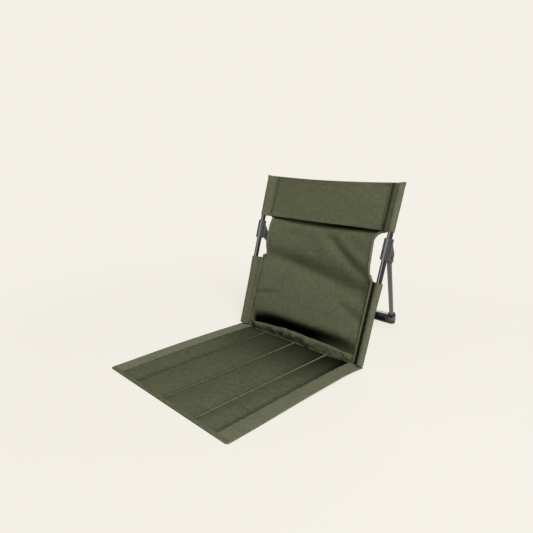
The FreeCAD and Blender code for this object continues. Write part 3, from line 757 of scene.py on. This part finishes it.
def make_seat_seams(top):
    """A narrow raised welt along each channel seam and the rear seam, and the seat's rows of stitches."""
    welts, welt_shading, rows = [], [], []
    for place in channel_seams:
        y = np.linspace(seat_front + HEM_WIDTH, rear_seam - 1 * MM, 150)
        x = place + uneven(y, 0, [(0.5, 160, 9 * place + 1)])
        welts.append(edging(at(x, y, WELT_LEVEL), UPWARDS, "seat_welt"))
        welt_shading.append(np.interp(place, WELT_PLACES, WELT_PAINTED_SHADING))
        for offset in SEAM_ROWS:
            beside = np.abs(top[0, :, 0] - place - offset).argmin()
            rows += stitches(top[2:-1, beside] + 0.1 * MM * UPWARDS, UPWARDS)
    x = np.linspace(-strip_half, strip_half, 160)
    y = rear_seam - 1.6 * MM + uneven(x, 0, [(0.6, 45, 2.0)])
    z = WELT_LEVEL + uneven(x, 0, [(0.5, 30, 0.6)])
    welts.append(edging(at(x, y, z), UPWARDS, "rear_welt"))
    welt_shading.append(1.0)
    # Each welt's painted shading.
    painted_shading = np.concatenate([np.full(len(welt[0]), tone) for welt, tone in zip(welts, welt_shading)])
    make("seat_welts", welts, LIT_OLIVE, "seat", painted_shading)
    y = np.linspace(seat_front + 5 * MM, seat_rear - 3 * MM, 120)
    for side in SIDES.values():
        for inset in BORDER_ROWS:
            x = side * (border_x + inset)
            rows += stitches(at(x, y, border_top + seat_lift(x, y)), UPWARDS)
    x = np.linspace(-border_x, border_x, 140)
    rows += stitches(at(x, seat_front + FRONT_ROW, 3.3 * MM), UPWARDS)
    make("seat_stitches", rows, THREAD, "seat")


# The rear strip: half its length, and its rolled profile of (rearwards, up) points in mm. Its tail, the
# last of them, lies against the low edge of the back panel.
STRIP_LONG = half_seat - 5.0 * MM
STRIP_PROFILE = np.array([
    (0, 1.6), (-0.8, 3.2), (-0.4, 5.5), (0.6, 9), (1.2, 13), (1.9, 16.5), (3.4, 19.8), (5.8, 21.9),
    (8.6, 22.3), (11, 20.6), (12.3, 16.5), (12.6, 11), (12.8, 6.5), (13.4, 3.6), (14.4, 2.9),
])
STRIP_TAIL = 3
TAIL_ALONG = 8.5 * MM
TAIL_BEFORE = 1.2 * MM

# The strip's height across the seat, against its profile. It is drawn rearwards beside the sleeves, and
# low under them.
STRIP_RISE = np.array([
    (-190, 0.8), (-138, 0.92), (-90, 1.05), (-36, 1.22), (17, 1.2), (71, 1.14), (125, 1.07), (155, 0.96),
    (190, 0.88),
])
STRIP_RISE[:, 0] *= MM
STRIP_LOW = (164 * MM, 178 * MM)
STRIP_LOW_RISE = 0.3
DRAWN_FROM = (138 * MM, 163 * MM)
DRAWN_TO = (167 * MM, 180 * MM)
DRAWN = 7 * MM
STRIP_PUCKERS = [(1.7, 52, 1.1), (1.3, 17, 3.3)]
STRIP_GATHER = 47 * MM

# Painted shade on the strip: dark from its foot up to a share of its height, lower on the right.
STRIP_SHADE = 0.66
STRIP_DARK = 0.42
STRIP_BRIGHT = 0.86


def strip_grid(inset):
    """The rear strip: turned up from the seat's rear seam, and rolled over at its top."""
    last = len(STRIP_PROFILE) - 1
    stations = np.linspace(0, last, 44)
    order = np.arange(last + 1)
    depth, height = (through(np.stack([order, line], axis=1), stations) * MM for line in STRIP_PROFILE.T)
    tail = smooth(last - STRIP_TAIL, last, stations)
    x = np.linspace(-STRIP_LONG, STRIP_LONG, 220)[:, None]
    away = np.abs(x)
    low = smooth(*STRIP_LOW, away)
    arch = through(STRIP_RISE, x) * (1 - low) + STRIP_LOW_RISE * low
    arch = arch + (np.maximum(1 - low, 0.2) - arch) * tail
    hollow = (1 - 0.4 * np.minimum(away / strip_half, 1.15) ** 3) * (1 - 0.5 * low)
    gather = wave(x, STRIP_GATHER, 2.6 * np.sin(29 * x + 1) + 0.09 * height / MM) * MM
    pucker = uneven(x, height, STRIP_PUCKERS) + gather
    fade = (0.45 + bell(height - 8 * MM, 8 * MM)) * (1 - 0.8 * low)
    drawn = smooth(*DRAWN_FROM, away) * (1 - smooth(*DRAWN_TO, away))
    drawn = DRAWN * drawn * smooth(0, 6 * MM, height + 6 * MM * tail)
    y = rear_seam + depth * hollow + drawn - pucker * fade * (1 - tail)
    panel = on_back(x, TAIL_ALONG, panel_depth(x, TAIL_ALONG))[..., 1] - TAIL_BEFORE
    y = y + np.maximum(panel - y, 0) * tail * (1 - low)
    crest = smooth(0, 14 * MM, height) * (1 - low)
    z = height * arch + crest * (uneven(x, 0, [(1.1, 70, 5.0)]) + 0.5 * gather)
    grid = at(x, y, z)
    layer = grid + normals(grid) * inset
    layer[..., 2] = np.maximum(layer[..., 2], 0.1 * MM)
    return layer


# Painted shade on the strip's front, in uneven patches.
def strip_painted_shade(grid):
    x, height = grid[..., 0], grid[..., 2]
    patch = ripple(x, height, 21 * MM, 4.4)
    share = height / height.max(axis=1, keepdims=True)
    lower = STRIP_DARK * smooth(10 * MM, 100 * MM, x)
    bright = smooth(STRIP_DARK + 0.2 * patch - lower, STRIP_BRIGHT + 0.12 * patch - lower, share)
    return front_painted_shading(1 - STRIP_SHADE * (1 - bright))


def make_strip():
    outer = strip_grid(0.0)
    part = wall_part(outer, strip_grid(CLOTH))
    strip = make("seat_rear_strip", [part], OLIVE, "seat", strip_painted_shade(outer))
    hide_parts("rear_strip")
    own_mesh(strip)


# The back.

# How far the middle of the back panel lies behind the tubes, by height along them.
PANEL_BOW = np.array([
    (6.7, 17), (12, 20), (20, 22.5), (28, 22.5), (36, 19.5), (43, 13.5), (49, 7), (55, 3), (63, 1.5),
    (74, 3), (92, 7.5), (115, 13), (140, 18.5), (162, 22.5), (178, 24), (193, 22.5), (210, 17.5),
    (230, 13.5), (262, 12), (283, 12), (291, 15), (299, 18), (350, 10), (402.5, 5),
]) * MM

# The same for the panel's edges: sewn behind the sleeves, and drawn forward along the cut-outs.
PANEL_EDGE = np.array([
    (6, 4), (120, 4), (185, 3.2), (215, 0), (245, -1), (268, -0.5), (284, 0.5), (292, 2.5), (300, 5.5),
    (312, 6.5), (403, 5),
]) * MM

# Folds of the back panel: (across, along) points, width and depth. One fades at an end that stops
# short of the seam.
PANEL_FOLDS = [
    ([(-163, 204), (-86, 194), (23, 174), (77, 163), (163, 158)], 21, 10.0),
    ([(-20, 291), (55, 247), (96, 222), (163, 193)], 14, 6.0),
    ([(26, 290), (84, 252), (122, 226), (160, 203)], 13, -2.6),
    ([(-165, 94), (-113, 107), (-70, 112)], 6, 2.4),
    ([(-165, 106), (-113, 118), (-75, 121)], 7, -1.8),
    ([(60, 130), (110, 116), (163, 96)], 12, 4.0),
    ([(-130, 268), (-60, 258), (0, 262)], 16, 1.2),
]
FOLD_SEWN = 0.95
FOLD_FADE = 0.4
PANEL_WAVES = [(0.9, 120, 0.9), (0.4, 45, 2.2)]
EDGE_PULL = 0.5 * MM
EDGE_PULL_PITCH = 23 * MM
EDGE_PULL_REACH = 14 * MM

# The cut-outs, and how far outside low_seam the seam of each lower sleeve lies, by height.
CUT_INSET = {-1.0: 9.0 * MM, 1.0: 16.0 * MM}
CUT_RADIUS = {-1.0: 6.0 * MM, 1.0: 24.0 * MM}
CUT_TUCK = 12.0 * MM
CUT_START = 14 * MM
SEAM_SHIFT = {
    -1.0: np.array([(7, 5.0), (191, -2.5)]) * MM,
    1.0: np.array([(7, 3.0), (191, 3.0)]) * MM,
}

# Painted shade deep in the fold at the seat, a painted shadow under the head panel's edge, and painted shade
# along the sleeves' seams.
FOLD_SHADE = 0.985
FOLD_SHADE_END = (40 * MM, 61 * MM)
FOLD_THINNER = 9 * MM
FLAP_SHADE = (0.5, 0.45)
FLAP_DARKEST = (0.35, 0.6)
SLEEVE_SHADE = (0.25, 0.65)
SLEEVE_SHADE_WIDTH = 4 * MM


def panel_edge(side, along):
    """How far out the back panel's edge is: sewn into the sleeves, and cut away between them."""
    radius = CUT_RADIUS[side]
    corner = head_low - radius
    rise = np.clip((along - sleeve_high) / (corner - sleeve_high), 0, 1)
    start = smooth(0, CUT_START, along - sleeve_high)
    leaning = low_seam - CUT_INSET[side] * (start + rise) / 2
    leaning = leaning + through(SEAM_SHIFT[side], along) * (1 - start)
    above = np.clip(along - corner, 0, radius)
    rounding = radius - np.sqrt(radius**2 - above**2)
    return np.minimum(leaning + rounding, low_seam + CUT_TUCK)


def fold_share(line, width, x, along):
    """How much of a fold's depth there is at a place."""
    line = np.array(line, float) * MM
    (start, first), (end, last) = line[0], line[-1]
    run = end - start
    gap = (along - through(line, x)) / math.hypot(1, (last - first) / run)
    fade_in = 1.0 if start < -FOLD_SEWN * low_seam else smooth(start, start + FOLD_FADE * run, x)
    fade_out = 1.0 if end > FOLD_SEWN * low_seam else 1 - smooth(end - FOLD_FADE * run, end, x)
    return bell(gap, width * MM) * fade_in * fade_out * ((x >= start) & (x <= end))


def panel_depth(x, along):
    """How far the back panel lies behind the tubes."""
    share = np.abs(x) / low_seam
    evenness = 2.3 + 3.7 * (1 - smooth(55 * MM, 115 * MM, along))
    cross = np.clip(1 - share**evenness, 0, None)
    edge = through(PANEL_EDGE, along)
    depth = edge + (through(PANEL_BOW, along) - edge) * cross
    for line, width, drop in PANEL_FOLDS:
        depth = depth + drop * MM * fold_share(line, width, x, along)
    pull = EDGE_PULL * np.exp(-(low_seam - np.abs(x)) / EDGE_PULL_REACH) * wave(along, EDGE_PULL_PITCH)
    return depth + smooth(0, 0.09, 1 - share) * (uneven(x, along, PANEL_WAVES) + pull)


# Painted shade and a painted shadow on the back panel's front.
def panel_painted_shade(x, along):
    share = x / low_seam
    right_end = 0.8 * smooth(0, 0.85, 1 - share) + 0.2 * smooth(0, 0.05, 1 - share)
    thinner = FOLD_THINNER * (1 - smooth(0, 0.5, 1 + share))
    deep = 1 - smooth(*FOLD_SHADE_END, along + thinner)
    fold = 1 - FOLD_SHADE * deep * smooth(0, 0.09, 1 + share) * right_end
    place, spread = FLAP_DARKEST
    flap_shade = FLAP_SHADE[0] + FLAP_SHADE[1] * bell(share - place, spread)
    flap = 1 - flap_shade * smooth(head_low - 9 * MM, head_low - 1 * MM, along)
    sleeved = 1 - smooth(sleeve_high - 4 * MM, sleeve_high + 2 * MM, along)
    near = bell(low_seam + by_side(SEAM_SHIFT, x, along) - np.abs(x), SLEEVE_SHADE_WIDTH)
    return fold * flap * (1 - np.where(x < 0, *SLEEVE_SHADE) * sleeved * near)


def panel_top(x):
    """Where the back's top edge is; it sags between the sleeves."""
    return back_top - TOP_SAG * (1 - (np.abs(x) / head_seam) ** 2)


def panel_rows():
    """Places along the back panel, closer together at its low fold and its cut-outs' corners."""
    stops = [panel_low, 70 * MM, head_low - max(CUT_RADIUS.values()), head_low, back_top]
    runs = [np.linspace(low, high, rows)[:-1] for low, high, rows in zip(stops, stops[1:], (36, 56, 26, 26))]
    return np.concatenate([*runs, stops[-1:]])


PANEL_COLUMNS = 111
BEND_END = 30 * MM


def make_back_panel():
    along = panel_rows()[:, None]
    tucked = TUCK * (1 - smooth(sleeve_high - 6 * MM, sleeve_high, along))
    hidden = smooth(head_low, head_low + 4 * MM, along)
    left, right = (
        (panel_edge(side, along) + tucked) * (1 - hidden) + (low_seam + TUCK) * hidden
        for side in SIDES.values()
    )
    even = np.linspace(0, 1, PANEL_COLUMNS)
    x = -left + (left + right) * (0.5 * even + 0.25 * (1 - np.cos(math.pi * even)))
    sag = (back_top - panel_top(x)) * smooth(head_low, head_high, along)
    grid = on_back(x, along - sag, panel_depth(x, along))
    part = wall_part(grid, grid - normals(grid) * CLOTH)
    panel = make("back_cloth", [part], OLIVE, painted_shading=front_painted_shading(panel_painted_shade(x, along)))
    low, high = on_back(0.0, panel_low, 0.0), on_back(0.0, BEND_END, 0.0)
    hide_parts("back_panel")
    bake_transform(panel)


def make_edge_bindings():
    """A bound edge along each cut-out, with its stitches."""
    bindings, rows = [], []
    along = np.linspace(sleeve_high - 2 * MM, head_low + 4 * MM, 110)
    for side in SIDES.values():
        x = panel_edge(side, along)
        depth = panel_depth(side * x, along)
        path = on_back(side * (x - 1.6 * MM), along, depth + 0.1 * MM)
        bindings.append(edging(path, FRONT, "binding"))
        rows += stitches(on_back(side * (x - 3.2 * MM), along, depth - 1.9 * MM), FRONT)
    make("cut_out_bindings", bindings, OLIVE_BAND, "backrest")
    # The cut-outs' stitches are dark thread, which also stands in for a shade line beside the bindings:
    # painted shade in part.
    make("cut_out_stitches", rows, DARK_THREAD, "backrest")


PIPING_WANDER = 0.3
PIPING_ROW = 3.4 * MM


def make_piping(name, material, along, lines, seam, front, length, seed):
    """Piping where a panel is sewn into its sleeves. Returns the stitches beside it."""
    pipes, rows = [], []
    for side, line in lines.items():
        x = line + uneven(along, 0, [(PIPING_WANDER, length, seed + side)])
        pipes.append(edging(on_back(side * x, along, SEAM_BEHIND - front), FRONT, name))
        rows += stitches(on_back(side * (x + PIPING_ROW), along, sleeve_front(PIPING_ROW, seam)), FRONT)
    make(name, pipes, material, "backrest")
    return rows


def make_seam_piping():
    along = np.linspace(sleeve_low + 1 * MM, sleeve_high, 120)
    lines = {side: low_seam + through(SEAM_SHIFT[side], along) - 0.6 * MM for side in SIDES.values()}
    return make_piping("seam_piping", OLIVE_BAND, along, lines, low_seam, 2.4 * MM, 90, 0)


def make_head_piping():
    along = np.linspace(head_low + 0.5 * MM, head_high - 3 * MM, 80)
    lines = dict.fromkeys(SIDES.values(), head_seam - 0.4 * MM)
    return make_piping("head_piping", SHADED_OLIVE, along, lines, head_seam, 2.2 * MM, 70, 2)


# The sleeves.


def sleeve_outline(radius, seam, snug):
    """A sleeve's section of (outwards from the seam, behind) points: a web, then a pocket for the tube.

    A snug pocket goes nearly all round its tube; a loose one tapers from the seam.
    """
    run = tube_x - seam
    half = SLEEVE_SEAM - 0.5 * (sleeve_radius - radius)
    loose_turn = math.pi / 2 + math.asin((radius - half) / run)
    snug_turn = math.pi - math.asin(2 * half / radius)
    turn = loose_turn + snug * (snug_turn - loose_turn)
    arc = np.linspace(turn, -turn, 40)
    pocket = np.stack([run + radius * np.cos(arc), radius * np.sin(arc)], axis=1)
    web_end = pocket[0] - snug * np.array([1.6 * MM, pocket[0, 1] - half])
    web = np.linspace(np.array([0.4 * MM, half]), web_end, 13)[:-1]
    tip = np.array([[0.0, -0.5 * half], [-0.2 * MM, 0.0], [0.0, 0.5 * half]])
    return np.concatenate([web, pocket, web[::-1] * (1, -1), tip])


def seam_turn(seam):
    """How far a seam is from its tube, and the angle that it is turned behind it."""
    run = tube_x - seam
    return run, math.asin(SEAM_BEHIND / run)


def turned(out, behind, seam):
    """A sleeve's section turned about its tube, so that its seam lies behind the plane of the tubes."""
    run, turn = seam_turn(seam)
    from_tube = out - run
    across = run + from_tube * math.cos(turn) + behind * math.sin(turn)
    return across, behind * math.cos(turn) - from_tube * math.sin(turn)


def sleeve_front(out, seam):
    """How far behind the tubes' plane the front of a sleeve's web lies, at a distance from its seam."""
    run, turn = seam_turn(seam)
    return (run - out) * math.sin(turn) - SLEEVE_SEAM * math.cos(turn) - 0.1 * MM


def sleeve_grid(along, outline, seed):
    """A sleeve's wall, with the faint pull lines of cloth drawn over a tube: (outwards, behind)."""
    out, behind = outline.T
    share = np.clip(out / out.max(), 0.05, 0.8)
    pull = uneven(along, out, [(0.3, 40, seed)]) * np.sin(math.pi * share / 0.8)
    swell = 1 + 0.035 * ripple(along, 0, 75 * MM, seed + 2)
    return out + uneven(along, 0, [(0.25, 110, seed + 4)]), behind * swell + np.sign(behind) * pull


# How snug each sleeve's pocket is, how dark the painted shade on its web is, where that fades, and how dark
# the painted shade at its outer edge is.
LOWER_SLEEVES = {
    -1.0: (0.5, 0.12, (9 * MM, 15 * MM), 0.0),
    1.0: (1.0, 0.85, (12 * MM, 15.5 * MM), 0.4),
}
HEAD_SLEEVES = {
    -1.0: (0.15, 0.15, (3 * MM, 9 * MM), 0.0),
    1.0: (0.3, 0.72, (4 * MM, 16 * MM), 0.5),
}

# A lower sleeve's top: its thicker hem, its slope down outwards, and its flare.
SLEEVE_HEM = 0.35 * MM
SLEEVE_SLOPE = 1.6 * MM
SLEEVE_FLARE = 1.6 * MM
SLEEVE_FLARE_RUN = 70 * MM

# A head sleeve's closed end: where it starts, how flat it is sewn, and its drawn-out corner.
CAP_START = tube_top - 1 * MM
CAP_POWER = 2.6
CAP_FLAT = 0.16
CORNER_OUT = 2.0 * MM
CORNER_UP = 1.2 * MM


def sleeve_painted_shade(out, behind, depth, fade, rim):
    """Painted shade on a sleeve: darker along its web, and by rim along the rear of its outer edge."""
    web = smooth(0, 2 * MM, out) * (1 - smooth(*fade, out)) * (behind < 0)
    outer = smooth(-0.1, 0.6, behind / sleeve_radius) * smooth(0.75, 0.9, out / out.max())
    return (1 - depth * web) * (1 - rim * outer)


def make_sleeve(kind, side_name, seam, along, table, seed, shape):
    """A sleeve from its outer and inner wall; its flat width is the way round a middle row.

    The shape, from a wall's points and its inset, gives (outwards, along, behind).
    """
    side = SIDES[side_name]
    snug, *shades = table[side]
    walls = []
    for inset in (0.0, SLEEVE_CLOTH):
        outline = sleeve_outline(sleeve_radius - inset, seam, snug)
        out, rows, behind = shape(*sleeve_grid(along, outline, seed + side), inset)
        out, behind = turned(out, behind, seam)
        walls.append(on_back(side * (seam + out), rows, behind))
    # Painted shade on the sleeve's web and outer edge.
    tone = sleeve_painted_shade(*sleeve_outline(sleeve_radius, seam, snug).T, *shades)
    painted_shading = np.tile(tone, (2 * len(along), 1))
    sleeve = make(f"{kind}_cloth_{side_name}", [wall_part(*walls, wrap=True)], LIT_OLIVE, "backrest", painted_shading)
    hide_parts(f"{kind}_{side_name}")


def make_lower_sleeve(side_name):
    along = np.linspace(sleeve_low, sleeve_high, 64)[:, None]
    hem = SLEEVE_HEM * smooth(sleeve_high - 9 * MM, sleeve_high - 7 * MM, along)
    slope = SLEEVE_SLOPE * smooth(sleeve_high - 14 * MM, sleeve_high, along)
    flare = SLEEVE_FLARE * smooth(sleeve_high - SLEEVE_FLARE_RUN, sleeve_high, along)
    shift = through(SEAM_SHIFT[SIDES[side_name]], along)

    def shape(out, behind, inset):
        share = out / (sleeve_side - low_seam)
        near_seam = 1 - smooth(0.1, 0.55, out / (tube_x - low_seam))
        spread = out + flare * smooth(0.5, 1.0, share) + shift * near_seam
        return spread, along - slope * share, behind + np.sign(behind) * hem

    make_sleeve("lower_sleeve", side_name, low_seam, along, LOWER_SLEEVES, 1.0, shape)


def make_head_sleeve(side_name):
    """The upper sleeve, sewn flat across its top above the tube's end."""
    cap = head_high - CAP_START
    cap_rows = CAP_START + cap * np.sin(np.linspace(0, math.pi / 2, 14))
    along = np.concatenate([np.linspace(head_low, CAP_START, 40)[:-1], cap_rows])[:, None]
    over = np.clip((along - CAP_START) / cap, 0, 1)
    flatten = np.maximum((1 - over**CAP_POWER) ** (1 / CAP_POWER), CAP_FLAT)

    def shape(out, behind, inset):
        corner = smooth(0.55, 1.0, out / (sleeve_side - head_seam)) * over
        return out + CORNER_OUT * corner, along + CORNER_UP * corner - inset * over, behind * flatten

    make_sleeve("head_sleeve", side_name, head_seam, along, HEAD_SLEEVES, 3.0, shape)


# The head panel.

HEAD_WAVES = [(0.6, 140, 6.0), (0.25, 50, 7.5)]
# Painted shade along the head panel's side seams.
HEAD_SEAM_SHADE = 0.6
HEAD_SEAM_SHADE_WIDTH = 3.2 * MM


def head_depth(x, along):
    """How far the head panel lies behind the tubes; its lower edge hangs free before the back panel."""
    share = np.abs(x) / head_seam
    rise = np.clip((along - head_low) / (head_high - head_low), 0, 1)
    middle = (4.7 - 5.4 * rise - 1.2 * np.sin(math.pi * rise) ** 2) * MM
    edge = SEAM_BEHIND - (1.4 + 2.6 * (1 - smooth(0, 0.5, rise))) * MM
    depth = edge + (middle - edge) * (1 - share**2.4)
    return depth + uneven(x, along, HEAD_WAVES) * smooth(0, 0.12, 1 - share)


def head_edge(x):
    """Where the head panel's free lower edge is."""
    return head_low + 1.0 * MM + uneven(x, 0, [(1.2, 230, 1.2)])


def make_head_panel():
    half = head_seam + HEAD_TUCK
    turn = np.linspace(-1, 1, 91) * math.pi / 2.2
    x, rise = np.meshgrid(np.sin(turn) / np.sin(turn[-1]) * half, np.linspace(0, 1, 44))
    along = head_edge(x) + (panel_top(x) - head_edge(x)) * rise
    grid = on_back(x, along, head_depth(x, along))
    part = wall_part(grid, grid - normals(grid) * CLOTH)
    # The head panel's front gets painted shade along its side seams.
    tone = 1 - HEAD_SEAM_SHADE * bell(head_seam - np.abs(x), HEAD_SEAM_SHADE_WIDTH)
    panel = make("head_cloth", [part], OLIVE, "backrest", front_painted_shading(tone))
    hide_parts("head_panel")


def make_head_trim():
    """The head panel's hems: a turned lower edge and a rolled top edge that takes in the back panel."""
    half = head_seam - 0.5 * MM
    x = np.linspace(-half, half, 150)
    low = head_edge(x) + 4.0 * MM
    hem = edging(on_back(x, low, head_depth(x, low) + 0.5 * MM), FRONT, "head_hem")
    high = panel_top(x) - 1.2 * MM
    middle = (head_depth(x, high) + panel_depth(x, high)) / 2 + 0.4 * MM
    roll = edging(on_back(x, high, middle), FRONT, "head_roll")
    make("head_lower_hem", [hem], OLIVE, "backrest")
    make("head_top_roll", [roll], OLIVE, "backrest")
    rows = []
    for place in (head_edge(x) + 7.0 * MM, panel_top(x) - 6.5 * MM):
        rows += stitches(on_back(x, place, head_depth(x, place) - 0.75 * MM), FRONT)
    return rows


# Bar tacks: the side, and the place across and along it; their length, and their threads.
BAR_TACKS = [(1.0, 171 * MM, 382 * MM), (-1.0, 170 * MM, 51 * MM)]
TACK_HALF = 3.0 * MM
TACK_THREADS = 6
TACK_PITCH = 0.5 * MM


def make_bar_tacks():
    """Dense bars of dark thread where the sleeves take the most pull."""
    parts = []
    for side, x, along in BAR_TACKS:
        across = np.linspace(x - TACK_HALF, x + TACK_HALF, 9)
        seam = head_seam if along > head_low else low_seam
        depth = sleeve_front(across - seam, seam) - 0.15 * MM
        for step in range(TACK_THREADS):
            place = along + (step - (TACK_THREADS - 1) / 2) * TACK_PITCH
            parts.append(edging(on_back(side * across, place, depth), FRONT, "tack_thread"))
    make("bar_tacks", parts, DARK_THREAD, "backrest")


# The room: floor, light and camera.

FLOOR_TONE = colour(244, 240, 231)
FLOOR_RADIUS = 14.0
FLOOR_CORNERS = 64
FLOOR_SHARE = 0.8
FLOOR_FADE = (0.3, 1.3)
ROOM_TONE = (1.0, 0.99, 0.97, 1.0)
ROOM_LIGHT = 0.2

# Lamps: place, size and power, all turned to the chair. The gloss card is seen in reflections only.
SOFTBOXES = {
    "key": ((1.9, -1.05, 2.45), (1.25, 1.25), 90.0),
    "fill": ((-1.2, -1.5, 1.0), (1.4, 1.4), 1.2),
    "rear": ((-0.8, 1.75, 0.7), (1.2, 1.2), 15.0),
    "gloss_card": ((-0.1, -1.25, 0.5), (0.4, 0.9), 16.0),
}
LIT_PLACE = np.array([0.0, -0.05, 0.12])

CAMERA_PLACE = (0.675, -0.7834, 0.4507)
CAMERA_TURN = math.radians(45.43)
CAMERA_DIP = math.radians(19.35)
FRAME_PIXELS = 533
FOCAL_PIXELS = 455.2
SHIFT_PIXELS = (6.5, 43.5)
SENSOR = 36.0


def make_floor():
    mesh = bpy.data.meshes.new("floor")
    turns = np.linspace(0, 2 * math.pi, FLOOR_CORNERS, endpoint=False)
    ring = [(FLOOR_RADIUS * math.cos(turn), FLOOR_RADIUS * math.sin(turn), 0.0) for turn in turns]
    mesh.from_pydata(ring, [], [list(range(FLOOR_CORNERS))])
    look = Look("pale_floor", {"Base Color": FLOOR_TONE, "Roughness": 0.9, "Specular IOR Level": 0.0})
    glow = look.add("Emission", {"Color": FLOOR_TONE, "Strength": 1.0})
    away = look.add("VectorMath", {0: look.body}, operation="LENGTH").outputs["Value"]
    near, far = FLOOR_FADE
    span = {"Value": away, "From Min": near, "From Max": far, "To Min": FLOOR_SHARE, "To Max": 1.0}
    fade = look.add("MapRange", span, interpolation_type="SMOOTHSTEP").outputs[0]
    look.show_mix("Material Output", look.math("MULTIPLY", look.seen_directly(), fade), look.shader, glow)
    mesh.materials.append(look.material)
    add_object("floor", mesh)


def make_world():
    world = bpy.data.worlds.new("studio")
    world.use_nodes = True
    scene.world = world
    studio = Nodes(world.node_tree)
    room = studio.tree.nodes["Background"]
    studio.feed(room.inputs["Color"], ROOM_TONE)
    studio.feed(room.inputs["Strength"], ROOM_LIGHT)
    wall = studio.add("Background", {"Color": FLOOR_TONE, "Strength": 1.0})
    studio.show_mix("World Output", studio.seen_directly(), room, wall)


def add_softboxes():
    for name, (place, size, power) in SOFTBOXES.items():
        lamp = bpy.data.lights.new(name, "AREA")
        lamp.shape = "RECTANGLE"
        lamp.size, lamp.size_y = size
        lamp.energy = power
        box = add_object(name, lamp)
        box.location = place
        x, y, z = LIT_PLACE - place
        box.rotation_euler = (math.atan2(math.hypot(x, y), -z), 0, math.atan2(-x, y))
        box.visible_diffuse = name != "gloss_card"


def make_camera():
    lens = bpy.data.cameras.new("camera")
    lens.sensor_width = SENSOR
    lens.lens = FOCAL_PIXELS / FRAME_PIXELS * SENSOR
    lens.shift_x = SHIFT_PIXELS[0] / FRAME_PIXELS
    lens.shift_y = SHIFT_PIXELS[1] / FRAME_PIXELS
    lens.clip_start = 0.01
    camera = add_object("camera", lens)
    camera.location = CAMERA_PLACE
    camera.rotation_euler = (math.pi / 2 - CAMERA_DIP, 0, CAMERA_TURN)
    scene.camera = camera


def make_chair():
    dress_solids()
    make_base()
    make_seat_seams(make_cover())
    make_strip()
    for side_name, side in SIDES.items():
        make_border(side_name, side)
        make_lower_sleeve(side_name)
        make_head_sleeve(side_name)
    make_back_panel()
    make_edge_bindings()
    make_head_panel()
    rows = make_seam_piping() + make_head_trim() + make_head_piping()
    make("back_stitches", rows, THREAD, "backrest")
    make_bar_tacks()


def make_room():
    make_floor()
    make_world()
    add_softboxes()
    make_camera()
    scene.view_settings.view_transform = "Standard"


make_room()
make_chair()
